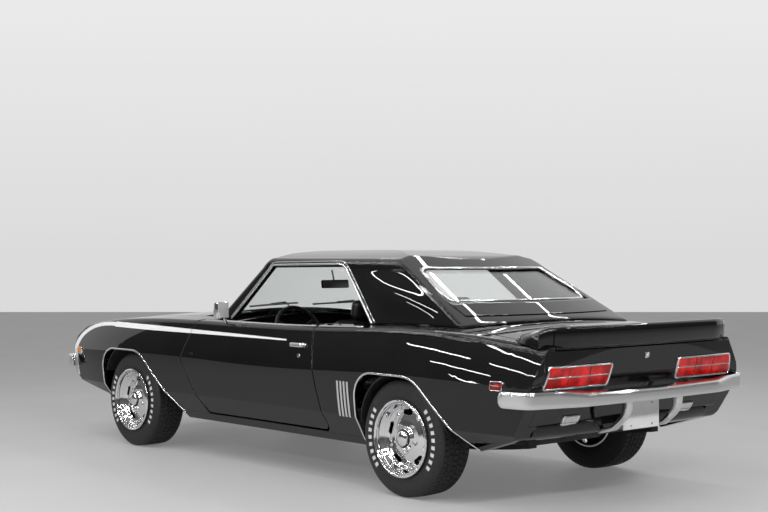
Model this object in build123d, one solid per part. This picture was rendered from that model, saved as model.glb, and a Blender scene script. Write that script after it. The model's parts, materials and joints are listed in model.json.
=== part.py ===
from build123d import *
import os
from math import cos, radians, sin

# Millimetres. +X is forward, +Y the car's left, +Z up; the ground is z = 0.

# Wheels and axles.
FRONT_AXLE_X = 1430
WHEELBASE = 2743
REAR_AXLE_X = FRONT_AXLE_X - WHEELBASE
WHEEL_Y = 772
TYRE_R = 322
TYRE_W = 230
TREAD_W = 178
RIM_R = 188
RING_R = 211
SPINDLE_R = 18
KINGPIN_Y = 697
DRUM_R = 132

# Clearances: at a seat, at a panel seam, between moving panels, and a cutter's far reach.
SEAT_CLEAR = 0.3
SEAM = 0.8
SHUT_GAP = 7
FAR = 3000

# Body shell: one wall stands for the whole sheet and its inner frame.
WALL = 20
NOSE_X = 2310
TAIL_X = -2300
END_BOW = 60
SHOULDER_R = 35
SILL_Z = 410
SILL_TUCK = 26
ROCKER_LOW_Z = 242
ROCKER_TOP_Z = 290
ROCKER_INNER_Y = 690

# Hood, cowl and nose.
HOOD_HALF_Y = 690
HOOD_REAR_X = 845
HOOD_FRONT_X = 2190
HOOD_PIVOT_X = 805
HOOD_PIVOT_Z = 840
HOOD_PIN_R = 8
HOOD_ARM_Y = 632
HOOD_ARM_W = 14
COWL_WALL = 12
COWL_DROP = 38
COWL_REAR_X = 580
NOSE_HALF_Y = 770
GRILLE_Z = 648
GRILLE_W = 1470
GRILLE_H = 176

# Deck lid, its gooseneck hinges, and the tail.
LID_HALF_Y = 716
LID_LOW_Z = 842
LID_PIVOT_X = -1630
LID_PIVOT_Z = 873
LID_EDGE_R = 117
LID_PIN_R = 7
NECK_Y = 470
NECK_W = 14
NECK_R = 142
NECK_DEPTH = 16
DECK_FRONT_X = -1060
TAIL_SEAM_X = -2150
TAIL_HALF_Y = 792
VALANCE_TOP_Z = 555

# Doors.
DOOR_INNER_Y = 785
DOOR_PIVOT_X = 700
DOOR_PIVOT_Y = 887
DOOR_TIP_R = 104.5
DOOR_PIN_R = 5
DOOR_EYE_R = 9
DOOR_PIN_LOW_Z = 600
DOOR_PIN_HIGH_Z = 680
DOOR_LOW_Z = ROCKER_TOP_Z + SHUT_GAP

# Cabin upper and its glass.
BELT_Z = 890
RAIL_Z = 1236
RAIL_R = 62
ROOF_TOP_Z = 1346
ROOF_WALL = 32
GLASS = 6
GLASS_INSET = 8
SCREEN_BASE_X = 745
SCREEN_RAKE = 1.047
BACK_BASE_X = -1575
BACK_BASE_Z = 1000
BACK_RAKE = 1.9
GLASS_BOW = 2000

# Bumpers.
BUMPER_REACH = 2362
FRONT_BUMPER_Z = 500
FRONT_BUMPER_H = 92
REAR_BUMPER_Z = 556
REAR_BUMPER_H = 82

# Floor, cabin fittings and running gear.
FLOOR_Z = 252
FLOOR_WALL = 14
FLOOR_HALF_Y = ROCKER_INNER_Y - SEAT_CLEAR
FIREWALL_X = 690
FIREWALL_WALL = 14
TUNNEL_R = 190
TUNNEL_WALL = 12
TUNNEL_Z = 262
TUNNEL_REAR_X = -780
SHAFT_Z = 300
SHAFT_R = 38
DASH_HALF_Y = 684
STEER_CENTRE = (215, 380, 813)
STEER_TILT = radians(25)
STEER_R = 180
COLUMN_R = 26
STEM_R = 10

# Body stations from nose to tail; the crown is on the centre line.
STATIONS = [
    # x, bottom_z, bottom_y, crease_z, crease_y, shoulder_z, shoulder_y, crown_z
    (2420, 330, 760, 610, 850, 770, 795, 812),
    (1950, 300, 790, 640, 905, 838, 838, 864),
    (1430, 255, 800, 650, 925, 880, 850, 912),
    (750, 238, 795, 650, 905, 893, 845, 955),
    (-100, 234, 790, 640, 900, 890, 838, 965),
    (-700, 236, 795, 655, 914, 900, 842, 968),
    (-1313, 258, 805, 672, 935, 915, 842, 965),
    (-1850, 300, 795, 665, 923, 895, 815, 930),
    (-2420, 370, 755, 650, 875, 845, 765, 862),
]

# Side outline of the body as (x, z, corner radius).
SIDE_OUTLINE = [
    (NOSE_X, 500, 20),
    (NOSE_X, 700, 150),
    (2130, 812, 300),
    (1100, 1050, 0),
    (TAIL_X, 1050, 0),
    (TAIL_X, 850, 12),
    (TAIL_X + 85, 560, 0),
    (TAIL_X + 190, 385, 40),
    (-1780, 285, 0),
    (-1600, 150, 0),
    (1700, 150, 0),
    (1850, 330, 0),
    (NOSE_X - 130, 400, 40),
]

# Door outline, and the wheel opening about its wheel's centre line, as (x, z, corner radius).
DOOR_OUTLINE = [
    (700, 1000, 0),
    (700, 890, 60),
    (810, 640, 60),
    (590, DOOR_LOW_Z, 40),
    (-655, DOOR_LOW_Z, 40),
    (-560, 700, 200),
    (-500, 890, 0),
    (-500, 1000, 0),
]
ARCH_OUTLINE = [
    (375, 100, 0),
    (348, 660, 150),
    (-130, 660, 220),
    (-565, 250, 0),
    (-660, 100, 0),
]
ARCH_INNER_Y = 560

# Cabin half widths at the low edge and at the rail, front to rear.
CABIN_STATIONS = [
    # x, low_y, rail_y
    (900, 772, 612),
    (-500, 772, 612),
    (-2000, 735, 545),
]
ROOF_OUTLINE = [
    (1000, 700, 0),
    (1000, 1205, 0),
    (620, 1268, 0),
    (150, 1344, 1500),
    (-620, 1350, 2500),
    (-1010, 1304, 500),
    (-1560, 1014, 0),
    (-2100, 1014, 0),
    (-2100, 700, 0),
]
SIDE_WINDOW = [
    (490, 860, 0),
    (190, 1244, 50),
    (-500, 1254, 110),
    (-880, 915, 20),
    (-880, 860, 0),
]
SCREEN_OUTLINE = [(-695, 940, 40), (-548, 1236, 40), (548, 1236, 40), (695, 940, 40)]
BACK_OUTLINE = [(-615, 1000, 60), (-505, 1228, 60), (505, 1228, 60), (615, 1000, 60)]

# Bumper edges in plan from the end round to the centre line, as (x, y, corner radius).
FRONT_OUTSIDE = [(2190, 922, 0), (2300, 905, 60), (2350, 560, 300), (BUMPER_REACH, 0, 0)]
FRONT_INSIDE = [(2190, 906, 0), (2286, 890, 46), (2326, 560, 280), (2336, 0, 0)]
REAR_OUTSIDE = [(2085, 942, 0), (2262, 916, 80), (2350, 560, 300), (BUMPER_REACH, 0, 0)]
REAR_INSIDE = [(2085, 916, 0), (2250, 898, 60), (2318, 560, 280), (2326, 0, 0)]

# Wheel sections as (radius, across, corner radius).
TYRE_SECTION = [
    (RIM_R + 1, -TYRE_W / 2 + 14, 0),
    (228, -TYRE_W / 2 + 3, 20),
    (264, -TYRE_W / 2, 20),
    (TYRE_R, -TREAD_W / 2, 22),
    (TYRE_R, TREAD_W / 2, 22),
    (264, TYRE_W / 2, 20),
    (228, TYRE_W / 2 - 3, 20),
    (RIM_R + 1, TYRE_W / 2 - 14, 0),
]
RIM_SECTION = [
    (SPINDLE_R + SEAT_CLEAR, 20, 0),
    (60, 20, 0),
    (150, 34, 0),
    (RIM_R - 10, 50, 0),
    (RIM_R - 10, -104, 0),
    (RIM_R, -104, 0),
    (RIM_R, 118, 0),
    (RING_R, 118, 0),
    (RING_R, 124, 0),
    (RING_R - 12, 126, 0),
    (172, 78, 14),
    (150, 58, 14),
    (96, 74, 20),
    (64, 78, 8),
    (50, 98, 12),
    (SPINDLE_R + SEAT_CLEAR, 104, 0),
]
WHEELS = [
    # corner, axle_x, side
    ("front_left", FRONT_AXLE_X, 1),
    ("front_right", FRONT_AXLE_X, -1),
    ("rear_left", REAR_AXLE_X, 1),
    ("rear_right", REAR_AXLE_X, -1),
]
HOUSES = [
    # axle_x, radius, inner_y, lowest_z
    (FRONT_AXLE_X, 384, 478, 500),
    (REAR_AXLE_X, 346, 626, TYRE_R + 60),
]
HOUSE_WALL = 8

PIECES = {}
LOW_END = (Align.CENTER, Align.CENTER, Align.MIN)


def outline_face(points):
    """A flat face from rows of (u, v, corner radius)."""
    corners = [(u, v) for u, v, _ in points]
    radii = [r for _, _, r in points]
    return make_face(FilletPolyline(*corners, radius=radii, close=True).edges())


def side_prism(face, y_low, y_high):
    """Extrude a side-view face, drawn as (x, z), across the car."""
    plane = Plane(origin=(0, y_high, 0), x_dir=(1, 0, 0), z_dir=(0, -1, 0))
    return extrude(plane * face, y_high - y_low)


def end_prism(face, x_low, x_high):
    """Extrude an end-view face, drawn as (y, z), along the car."""
    plane = Plane(origin=(x_low, 0, 0), x_dir=(0, 1, 0), z_dir=(1, 0, 0))
    return extrude(plane * face, x_high - x_low)


def plan_prism(face, z_low, z_high):
    """Extrude a plan-view face, drawn as (x, y), upward."""
    return extrude(Pos(0, 0, z_low) * face, z_high - z_low)


def block(x_low, x_high, y_low, y_high, z_low, z_high):
    """A box given by its limits."""
    centre = ((x_low + x_high) / 2, (y_low + y_high) / 2, (z_low + z_high) / 2)
    return Pos(*centre) * Box(x_high - x_low, y_high - y_low, z_high - z_low)


def rod(start, end, radius):
    """A round bar between two points."""
    line = Vector(*end) - Vector(*start)
    plane = Plane(origin=start, z_dir=line)
    return extrude(plane * Circle(radius), line.length)


def cross_rod(x, z, radius, y_low, y_high):
    """A round bar across the car."""
    return rod((x, y_low, z), (x, y_high, z), radius)


def upright(x, y, radius, z_low, z_high):
    """A round bar standing up."""
    return rod((x, y, z_low), (x, y, z_high), radius)


def mirrored(shape):
    """The same piece on the car's other side."""
    return mirror(shape, about=Plane.XZ)


def with_mirror(shape):
    """A left piece fused with its mirror image."""
    return shape + mirrored(shape)


def both_sides(*shapes):
    """Left pieces together with their mirror images, as separate solids."""
    solids = [solid for shape in shapes for solid in shape.solids()]
    copies = [copy for solid in solids for copy in mirrored(solid).solids()]
    return Compound(children=solids + copies)


def body_section(row, inset):
    """One station's closed outline; an inset one runs on below."""
    x, bottom_z, bottom_y, crease_z, crease_y, shoulder_z, shoulder_y, crown_z = row
    r = SHOULDER_R
    if inset > 0:
        bottom_z = bottom_z - 60
    bottom_y = bottom_y - inset
    crease_y = crease_y - inset
    shoulder_z = shoulder_z - inset
    shoulder_y = shoulder_y - inset
    crown_z = crown_z - inset
    low = (bottom_y, bottom_z)
    sill = (crease_y - SILL_TUCK, SILL_Z)
    sill_mid = (crease_y - 0.32 * SILL_TUCK, (SILL_Z + crease_z) / 2)
    crease = (crease_y, crease_z)
    high_mid = ((crease_y + shoulder_y) / 2 + 12, (crease_z + shoulder_z - r) / 2)
    turn = (shoulder_y + 0.3 * r, shoulder_z - r)
    turn_mid = (shoulder_y - 0.1 * r, shoulder_z - 0.3 * r)
    top = (shoulder_y - r, shoulder_z)
    side = [(sill, sill_mid, crease), (crease, high_mid, turn), (turn, turn_mid, top)]
    edges = [Line((-low[0], low[1]), low), Line(low, sill), Line((-low[0], low[1]), (-sill[0], sill[1]))]
    edges += [ThreePointArc(*arc) for arc in side]
    edges += [ThreePointArc(*[(-y, z) for y, z in arc]) for arc in side]
    edges.append(ThreePointArc(top, (0, crown_z), (-top[0], top[1])))
    return Plane(origin=(x, 0, 0), x_dir=(0, 1, 0), z_dir=(1, 0, 0)) * make_face(edges)


def body(inset):
    """The whole lower body as a solid, drawn in by the inset."""
    skin = loft([body_section(row, inset) for row in STATIONS])
    side = outline_face(SIDE_OUTLINE)
    if inset:
        side = offset(side, -inset, kind=Kind.INTERSECTION)
    front = NOSE_X - inset
    rear = TAIL_X + inset
    half = 1000
    plan_edges = [
        ThreePointArc((front - END_BOW, half), (front, 0), (front - END_BOW, -half)),
        Line((front - END_BOW, -half), (rear + END_BOW, -half)),
        ThreePointArc((rear + END_BOW, -half), (rear, 0), (rear + END_BOW, half)),
        Line((rear + END_BOW, half), (front - END_BOW, half)),
    ]
    plan = plan_prism(make_face(plan_edges), 0, FAR)
    return skin & side_prism(side, -FAR, FAR) & plan


def arch(axle_x):
    """The cutter for one wheel opening, through the left side only."""
    face = Pos(axle_x, 0) * outline_face(ARCH_OUTLINE)
    return side_prism(face, ARCH_INNER_Y, FAR)


def cabin(inset):
    """The upper cabin as a solid between belt and roof."""
    sections = []
    for x, low_y, rail_y in CABIN_STATIONS:
        low = (low_y - inset, BELT_Z - 80)
        rail = (rail_y - inset, RAIL_Z)
        edge = (rail_y - RAIL_R - inset, RAIL_Z + RAIL_R - inset)
        turn = (rail_y - 0.22 * RAIL_R - inset, RAIL_Z + 0.68 * RAIL_R - 0.7 * inset)
        side = [(rail, turn, edge)]
        edges = [Line(low, rail), Line((-low[0], low[1]), (-rail[0], rail[1])), Line((-low[0], low[1]), low)]
        edges += [ThreePointArc(*arc) for arc in side]
        edges += [ThreePointArc(*[(-y, z) for y, z in arc]) for arc in side]
        edges.append(ThreePointArc(edge, (0, ROOF_TOP_Z + 15 - inset), (-edge[0], edge[1])))
        plane = Plane(origin=(x, 0, 0), x_dir=(0, 1, 0), z_dir=(1, 0, 0))
        sections.append(plane * make_face(edges))
    roof_side = Pos(0, -inset) * outline_face(ROOF_OUTLINE)
    solid = loft(sections, ruled=True) & side_prism(roof_side, -FAR, FAR)
    return solid & screen_side(inset) & back_side(inset)


def bowed_face(centre_x, forward):
    """A plan face that ends at a bowed glass surface, facing forward or rearward."""
    half = 900
    edge_x = centre_x - forward * half ** 2 / (2 * GLASS_BOW)
    far_x = centre_x - forward * FAR
    edges = [
        ThreePointArc((edge_x, -half), (centre_x, 0), (edge_x, half)),
        Line((edge_x, half), (far_x, half)),
        Line((far_x, half), (far_x, -half)),
        Line((far_x, -half), (edge_x, -half)),
    ]
    return make_face(edges)


def raked(face, base_z, rake):
    """A plan face extruded along a raked line, from well below its base height."""
    drop = 280
    rise = 900
    low = Pos(-rake * drop, 0, base_z - drop) * face
    return extrude(low, rise * (1 + rake ** 2) ** 0.5, dir=(rake, 0, 1))


def screen_side(inset):
    """Everything behind the windshield's surface, drawn in by the inset."""
    lean = (1 + SCREEN_RAKE ** 2) ** 0.5
    return raked(bowed_face(SCREEN_BASE_X - inset * lean, 1), BELT_Z, -SCREEN_RAKE)


def back_side(inset):
    """Everything ahead of the rear window's surface, drawn in by the inset."""
    lean = (1 + BACK_RAKE ** 2) ** 0.5
    return raked(bowed_face(BACK_BASE_X + inset * lean, -1), BACK_BASE_Z, BACK_RAKE)


outer = body(0)
inner = body(WALL)
shell = outer - inner
over = Pos(0, 0, SEAT_CLEAR) * outer
behind = Pos(-SEAT_CLEAR, 0, 0) * outer
beside = Pos(0, SEAT_CLEAR, 0) * outer
under = Pos(0, 0, -SEAT_CLEAR) * inner
door_face = outline_face(DOOR_OUTLINE)
door_hole = side_prism(offset(door_face, SHUT_GAP), DOOR_INNER_Y - SHUT_GAP, FAR)
front_arch = arch(FRONT_AXLE_X)
rear_arch = arch(REAR_AXLE_X)

# Doors: as thick as the whole door, stepped in at the back, with the hinge pin in a pocket.
DOOR_STEP_Y = 840
DOOR_STEP = 6
DOOR_POCKET_Y = 899
PIN_END = 20
door_back = side_prism(offset(door_face, -DOOR_STEP), DOOR_INNER_Y, DOOR_STEP_Y)
door = outer & (side_prism(door_face, DOOR_STEP_Y, FAR) + door_back)
ahead_of_pivot = block(DOOR_PIVOT_X, FAR, 0, FAR, 0, FAR)
door = door - (ahead_of_pivot - upright(DOOR_PIVOT_X, DOOR_PIVOT_Y, DOOR_TIP_R, 0, FAR))
door = door - block(DOOR_PIVOT_X - 15, FAR, 0, DOOR_STEP_Y, 0, FAR)
door = door - block(DOOR_PIVOT_X - 22, FAR, 0, DOOR_POCKET_Y, DOOR_PIN_LOW_Z, DOOR_PIN_HIGH_Z)
pin_low = DOOR_PIN_LOW_Z - PIN_END
pin_high = DOOR_PIN_HIGH_Z + PIN_END
PIECES["door_left"] = door + upright(DOOR_PIVOT_X, DOOR_PIVOT_Y, DOOR_PIN_R, pin_low, pin_high)
PIECES["door_right"] = mirrored(PIECES["door_left"])

# Outside mirror on its stalk, on the left door.
MIRROR_X = 373
MIRROR_Y = 885
MIRROR_Z = 947
stalk = rod((MIRROR_X + 22, MIRROR_Y - 63, 870), (MIRROR_X + 12, MIRROR_Y - 35, MIRROR_Z - 15), 9) - over
head = Pos(MIRROR_X, MIRROR_Y, MIRROR_Z) * Box(42, 94, 58)
PIECES["mirror"] = stalk + fillet(head.edges(), 10)

# Hinge pillars, each with the strap whose eye rides on the door's pin.
STRAP_PLAY = 8
PILLAR_FRONT_X = 800
PILLAR_OUTER_Y = 774
STRAP_HALF = 9
pillar_rear_x = DOOR_PIVOT_X - STRAP_HALF
pillar_low = ROCKER_TOP_Z + SEAT_CLEAR
pillar = block(pillar_rear_x, PILLAR_FRONT_X, ROCKER_INNER_Y, PILLAR_OUTER_Y, pillar_low, 830)
strap_low = DOOR_PIN_LOW_Z + STRAP_PLAY
strap_high = DOOR_PIN_HIGH_Z - STRAP_PLAY
strap_end_x = DOOR_PIVOT_X + STRAP_HALF
strap_tip_y = DOOR_PIVOT_Y - DOOR_PIN_R
strap = block(pillar_rear_x, strap_end_x, PILLAR_OUTER_Y - 5, strap_tip_y, strap_low, strap_high)
eye = upright(DOOR_PIVOT_X, DOOR_PIVOT_Y, DOOR_EYE_R, strap_low, strap_high)
eye_bore = upright(DOOR_PIVOT_X, DOOR_PIVOT_Y, DOOR_PIN_R + SEAT_CLEAR, 0, FAR)
PIECES["hinge_pillars"] = both_sides(pillar + strap + eye - eye_bore)

# Fenders, quarter panels and rockers.
FENDER_REAR_X = 580
ROCKER_FRONT_X = 912
ROCKER_REAR_X = -960
under_panels = block(-FAR, FAR, 0, FAR, 0, ROCKER_TOP_Z + SEAT_CLEAR)
fender = shell & block(FENDER_REAR_X, FAR, HOOD_HALF_Y, FAR, 0, FAR)
fender = fender - block(HOOD_FRONT_X, FAR, 0, NOSE_HALF_Y, 0, FAR)
fender = fender - door_hole - front_arch
fender = fender - (under_panels & block(0, ROCKER_FRONT_X, 0, FAR, 0, FAR))
PIECES["fender_left"] = fender
PIECES["fender_right"] = mirrored(fender)
quarter = shell & block(-FAR, -490, LID_HALF_Y + SHUT_GAP, FAR, 0, FAR)
quarter = quarter - door_hole - rear_arch
quarter = quarter - block(-FAR, TAIL_SEAM_X, 0, TAIL_HALF_Y, 0, LID_LOW_Z - SHUT_GAP + SEAM)
quarter = quarter - (under_panels & block(ROCKER_REAR_X, 0, 0, FAR, 0, FAR))
PIECES["quarter_left"] = quarter
PIECES["quarter_right"] = mirrored(quarter)
rocker = outer & block(ROCKER_REAR_X, ROCKER_FRONT_X, ROCKER_INNER_Y, FAR, ROCKER_LOW_Z, ROCKER_TOP_Z)
PIECES["rockers"] = both_sides(rocker - front_arch - rear_arch)

# Gills: four upright blades on each quarter panel, ahead of the rear wheel.
GILL_COUNT = 4
GILL_X = -805
GILL_PITCH = 30
GILL_W = 16
GILL_PROUD = 6
gill_band = (Pos(0, GILL_PROUD, 0) * outer) - beside
gill_row = []
for number in range(GILL_COUNT):
    gill_x = GILL_X - GILL_PITCH * number
    gill_row.append(gill_band & block(gill_x - GILL_W, gill_x, TAIL_HALF_Y, FAR, 402, 605))
PIECES["gills"] = both_sides(*gill_row)

# Hood with its hinge arms, the cowl behind it, and the nose.
hood_half = HOOD_HALF_Y - SHUT_GAP
hood = shell & block(HOOD_REAR_X, HOOD_FRONT_X - SHUT_GAP, -hood_half, hood_half, 750, FAR)
HOOD_ARM = [
    # x and z from the pivot, corner radius
    (-15, -14, 6),
    (-15, 14, 6),
    (45, 16, 0),
    (57, 120, 0),
    (125, 120, 0),
    (100, -14, 12),
]
hood_arm_face = Pos(HOOD_PIVOT_X, HOOD_PIVOT_Z) * outline_face(HOOD_ARM)
hood_arm = side_prism(hood_arm_face, HOOD_ARM_Y, HOOD_ARM_Y + HOOD_ARM_W) & (Pos(0, 0, 2) * inner)
hood_arm = hood_arm - cross_rod(HOOD_PIVOT_X, HOOD_PIVOT_Z, HOOD_PIN_R + SEAT_CLEAR, 0, FAR)
PIECES["hood"] = hood + with_mirror(hood_arm)
COWL_HALF_Y = HOOD_HALF_Y - 6
cowl_low = body(COWL_DROP + COWL_WALL)
cowl_zone = block(COWL_REAR_X, HOOD_REAR_X - SHUT_GAP, -COWL_HALF_Y, COWL_HALF_Y, 780, FAR)
cowl = (body(COWL_DROP) - cowl_low) & cowl_zone
arm_slot = block(HOOD_PIVOT_X - 35, FAR, HOOD_ARM_Y - 8, HOOD_ARM_Y + HOOD_ARM_W + 8, 780, FAR)
PIECES["cowl_panel"] = cowl - with_mirror(arm_slot)
nose_half = NOSE_HALF_Y - SEAM
nose = shell & block(HOOD_FRONT_X + SEAM, FAR, -nose_half, nose_half, 0, FAR)
grille_hole = Pos(0, GRILLE_Z) * RectangleRounded(GRILLE_W, GRILLE_H, 40)
PIECES["nose_panel"] = nose - end_prism(grille_hole, HOOD_FRONT_X + 10, FAR)

# Rear deck panel, deck lid with its gooseneck arms, tail panel and rear valance.
def lid_round(radius):
    """A cylinder about the lid's pivot, across the whole car."""
    return cross_rod(LID_PIVOT_X, LID_PIVOT_Z, radius, -FAR, FAR)


neck_zone = block(-FAR, FAR, NECK_Y, NECK_Y + NECK_W, 0, FAR)
lid = shell & block(-FAR, LID_PIVOT_X, -LID_HALF_Y, LID_HALF_Y, LID_LOW_Z, FAR)
neck = (lid_round(NECK_R) - lid_round(NECK_R - NECK_DEPTH)) & block(-FAR, LID_PIVOT_X + 30, 0, FAR, 0, FAR)
neck = neck + block(LID_PIVOT_X - 8, LID_PIVOT_X + 8, 0, FAR, LID_PIVOT_Z - NECK_R + 7, LID_PIVOT_Z)
neck = (neck + lid_round(15)) & neck_zone & (Pos(0, 0, 2) * inner)
neck = neck - block(LID_PIVOT_X - 60, LID_PIVOT_X + 60, 0, FAR, LID_PIVOT_Z + 40, FAR)
neck = neck - lid_round(LID_PIN_R + SEAT_CLEAR)
PIECES["deck_lid"] = lid - lid_round(LID_EDGE_R) + with_mirror(neck)
deck_half = LID_HALF_Y + SHUT_GAP - SEAM
deck_front = block(LID_PIVOT_X, DECK_FRONT_X, -deck_half, deck_half, 800, FAR)
deck_rear = block(-FAR, LID_PIVOT_X, -deck_half, deck_half, 800, FAR) & lid_round(LID_EDGE_R - SHUT_GAP)
PIECES["rear_deck_panel"] = shell & (deck_front + deck_rear)
tail_half = TAIL_HALF_Y - SEAM
tail_zone = block(-FAR, TAIL_SEAM_X - SEAM, -tail_half, tail_half, 0, LID_LOW_Z - SHUT_GAP)
PIECES["tail_panel"] = shell & tail_zone & block(-FAR, FAR, -FAR, FAR, VALANCE_TOP_Z + SEAM, FAR)

# Brackets that hold the pins of the hood and the deck lid.
bracket_x = FIREWALL_X + FIREWALL_WALL + SEAT_CLEAR
bracket_y = HOOD_ARM_Y + HOOD_ARM_W + 10
bracket_top = HOOD_PIVOT_Z + 12
hood_mount = block(bracket_x, HOOD_PIVOT_X - 15, bracket_y, bracket_y + 24, 780, bracket_top)
bracket_end = HOOD_PIVOT_X + 15
hood_mount += block(HOOD_PIVOT_X - 25, bracket_end, bracket_y, bracket_y + 24, HOOD_PIVOT_Z - 15, bracket_top)
hood_mount += cross_rod(HOOD_PIVOT_X, HOOD_PIVOT_Z, HOOD_PIN_R, HOOD_ARM_Y - 6, bracket_y + 14)
ear_y = NECK_Y + NECK_W + 6
lid_mount = block(LID_PIVOT_X - 20, LID_PIVOT_X + 20, ear_y, ear_y + 20, LID_PIVOT_Z - 15, FAR) & under
lid_mount += cross_rod(LID_PIVOT_X, LID_PIVOT_Z, LID_PIN_R, NECK_Y - 4, ear_y + 10)
PIECES["hinge_brackets"] = both_sides(hood_mount, lid_mount)

# Spoiler on the lid, with end caps on the quarter panels.
SPOILER_TOP_Z = 936
SPOILER_REAR_X = -2330
SPOILER_OUTLINE = [
    (-2030, LID_LOW_Z, 0),
    (-2055, 898, 0),
    (SPOILER_REAR_X + 40, SPOILER_TOP_Z, 14),
    (SPOILER_REAR_X, SPOILER_TOP_Z - 8, 12),
    (SPOILER_REAR_X + 16, LID_LOW_Z, 4),
]
cap_low_y = LID_HALF_Y + SHUT_GAP
CAP_PLAN = [
    (-2400, cap_low_y, 0),
    (-2400, 815, 0),
    (-2305, 822, 30),
    (-2020, 762, 0),
    (-2020, cap_low_y, 0),
]
CAP_END = [(cap_low_y, 800, 0), (cap_low_y, SPOILER_TOP_Z, 0), (822, SPOILER_TOP_Z - 4, 46), (822, 800, 0)]
spoiler_face = outline_face(SPOILER_OUTLINE)
PIECES["spoiler"] = side_prism(spoiler_face, -LID_HALF_Y, LID_HALF_Y) - over - behind
cap = side_prism(spoiler_face, cap_low_y, FAR) & plan_prism(outline_face(CAP_PLAN), 0, FAR)
cap = cap & end_prism(outline_face(CAP_END), -FAR, FAR)
PIECES["spoiler_caps"] = both_sides(cap - over - behind - beside)

# Cabin upper: roof with its pillars, and the two fixed glasses.
cabin_shell = cabin(0) - cabin(ROOF_WALL)
screen_face = outline_face(SCREEN_OUTLINE)
back_face = outline_face(BACK_OUTLINE)
roof = cabin_shell - end_prism(screen_face, 150, FAR) - end_prism(back_face, -FAR, -900)
roof = roof - side_prism(outline_face(SIDE_WINDOW), -FAR, FAR) - over
PIECES["roof"] = roof - block(-600, 580, -FAR, FAR, 0, BELT_Z + 12)
glass_layer = cabin(GLASS_INSET) - cabin(GLASS_INSET + GLASS)
PIECES["windshield"] = glass_layer & end_prism(offset(screen_face, -0.4), 150, FAR)
PIECES["rear_window"] = glass_layer & end_prism(offset(back_face, -0.4), -FAR, -900)

# Lamps at the tail and on the sides; each tail lamp is split into three lenses.
LAMP_OUTLINE = [(300, 652, 10), (290, 750, 10), (760, 750, 10), (784, 652, 10)]
LAMP_BARS_Y = (450, 610)
LAMP_BAR_W = 8
LENS_PROUD = 10
lens_band = (Pos(-LENS_PROUD, 0, 0) * outer) - behind
tail_lamp = lens_band & end_prism(outline_face(LAMP_OUTLINE), -FAR, -2000)
for bar_y in LAMP_BARS_Y:
    tail_lamp = tail_lamp - block(-FAR, FAR, bar_y, bar_y + LAMP_BAR_W, 0, FAR)
PIECES["tail_lamps"] = both_sides(tail_lamp)
PIECES["reversing_lamps"] = both_sides(lens_band & block(-FAR, -2000, 430, 545, 440, 488))
marker_band = (Pos(0, LENS_PROUD, 0) * outer) - beside
MARKERS = [
    # rear end x, length, low z, height
    (2128, 62, 606, 36),
    (-2075, 68, 640, 34),
]
markers = []
for marker_x, length, low_z, height in MARKERS:
    markers.append(marker_band & block(marker_x, marker_x + length, TAIL_HALF_Y, FAR, low_z, low_z + height))
PIECES["side_markers"] = both_sides(*markers)

# Grille: a shallow tray with a grid of bars between two headlamps.
GRILLE_BACK_X = 2205
GRILLE_BACK_WALL = 10
GRILLE_RIM = 12
GRILLE_BARS_Y = 530
BAR_ROWS = 7
BAR_ROW_PITCH = 24
BAR_COLUMNS = 21
BAR_COLUMN_PITCH = 52
HEADLAMP_Y = 636
HEADLAMP_R = 84
tray_half_y = GRILLE_W / 2 + 15
tray_low = GRILLE_Z - GRILLE_H / 2 - 15
tray_high = GRILLE_Z + GRILLE_H / 2 + 14
bar_x = GRILLE_BACK_X + GRILLE_BACK_WALL
grille = block(GRILLE_BACK_X, 2300, -tray_half_y, tray_half_y, tray_low, tray_high)
room_half_y = tray_half_y - GRILLE_RIM
grille = grille - block(bar_x, FAR, -room_half_y, room_half_y, tray_low + GRILLE_RIM, tray_high - GRILLE_RIM)
for row in range(BAR_ROWS):
    height = GRILLE_Z + BAR_ROW_PITCH * (row - (BAR_ROWS - 1) / 2)
    grille = grille + block(bar_x - 1, bar_x + 30, -GRILLE_BARS_Y, GRILLE_BARS_Y, height - 4, height + 4)
for column in range(BAR_COLUMNS):
    across = BAR_COLUMN_PITCH * (column - (BAR_COLUMNS - 1) / 2)
    upper = tray_high - GRILLE_RIM + 1
    grille = grille + block(bar_x - 1, bar_x + 23, across - 3, across + 3, tray_low + GRILLE_RIM - 1, upper)
PIECES["grille"] = grille & (Pos(-SEAT_CLEAR, 0, -SEAT_CLEAR) * inner)
lamp_x = bar_x + SEAT_CLEAR
headlamp = Cylinder(HEADLAMP_R, 47, align=LOW_END) + Cylinder(HEADLAMP_R - 14, 57, align=LOW_END)
lamp_plane = Plane(origin=(lamp_x, HEADLAMP_Y, GRILLE_Z), z_dir=(1, 0, 0))
PIECES["headlamps"] = both_sides(lamp_plane.location * headlamp)


# Bumpers: a bent band in plan, with pads that seat it on the body.
def band_face(points):
    """A plan face whose edge runs round both corners."""
    right = [(x, -y, r) for x, y, r in reversed(points[:-1])]
    return outline_face(points + right)


def bumper(outside, inside, z_low, height, bevel):
    """A bumper band facing forward, with rounded ends and its top sloping down to the outer edge."""
    z_high = z_low + height
    end_x = outside[0][0]
    end_r = 0.42 * height
    side = [(end_x, z_low, end_r), (end_x, z_high, end_r), (FAR, z_high, 0), (FAR, z_low, 0)]
    band = plan_prism(band_face(outside), z_low, z_high) - plan_prism(band_face(inside), 0, FAR)
    band = band & side_prism(outline_face(side), -FAR, FAR)
    crest_x = BUMPER_REACH - 62
    slope = Polyline((crest_x, z_high), (crest_x + 100, z_high - bevel), (crest_x + 100, FAR), close=True)
    return band - side_prism(make_face(slope.edges()), -FAR, FAR)


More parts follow.
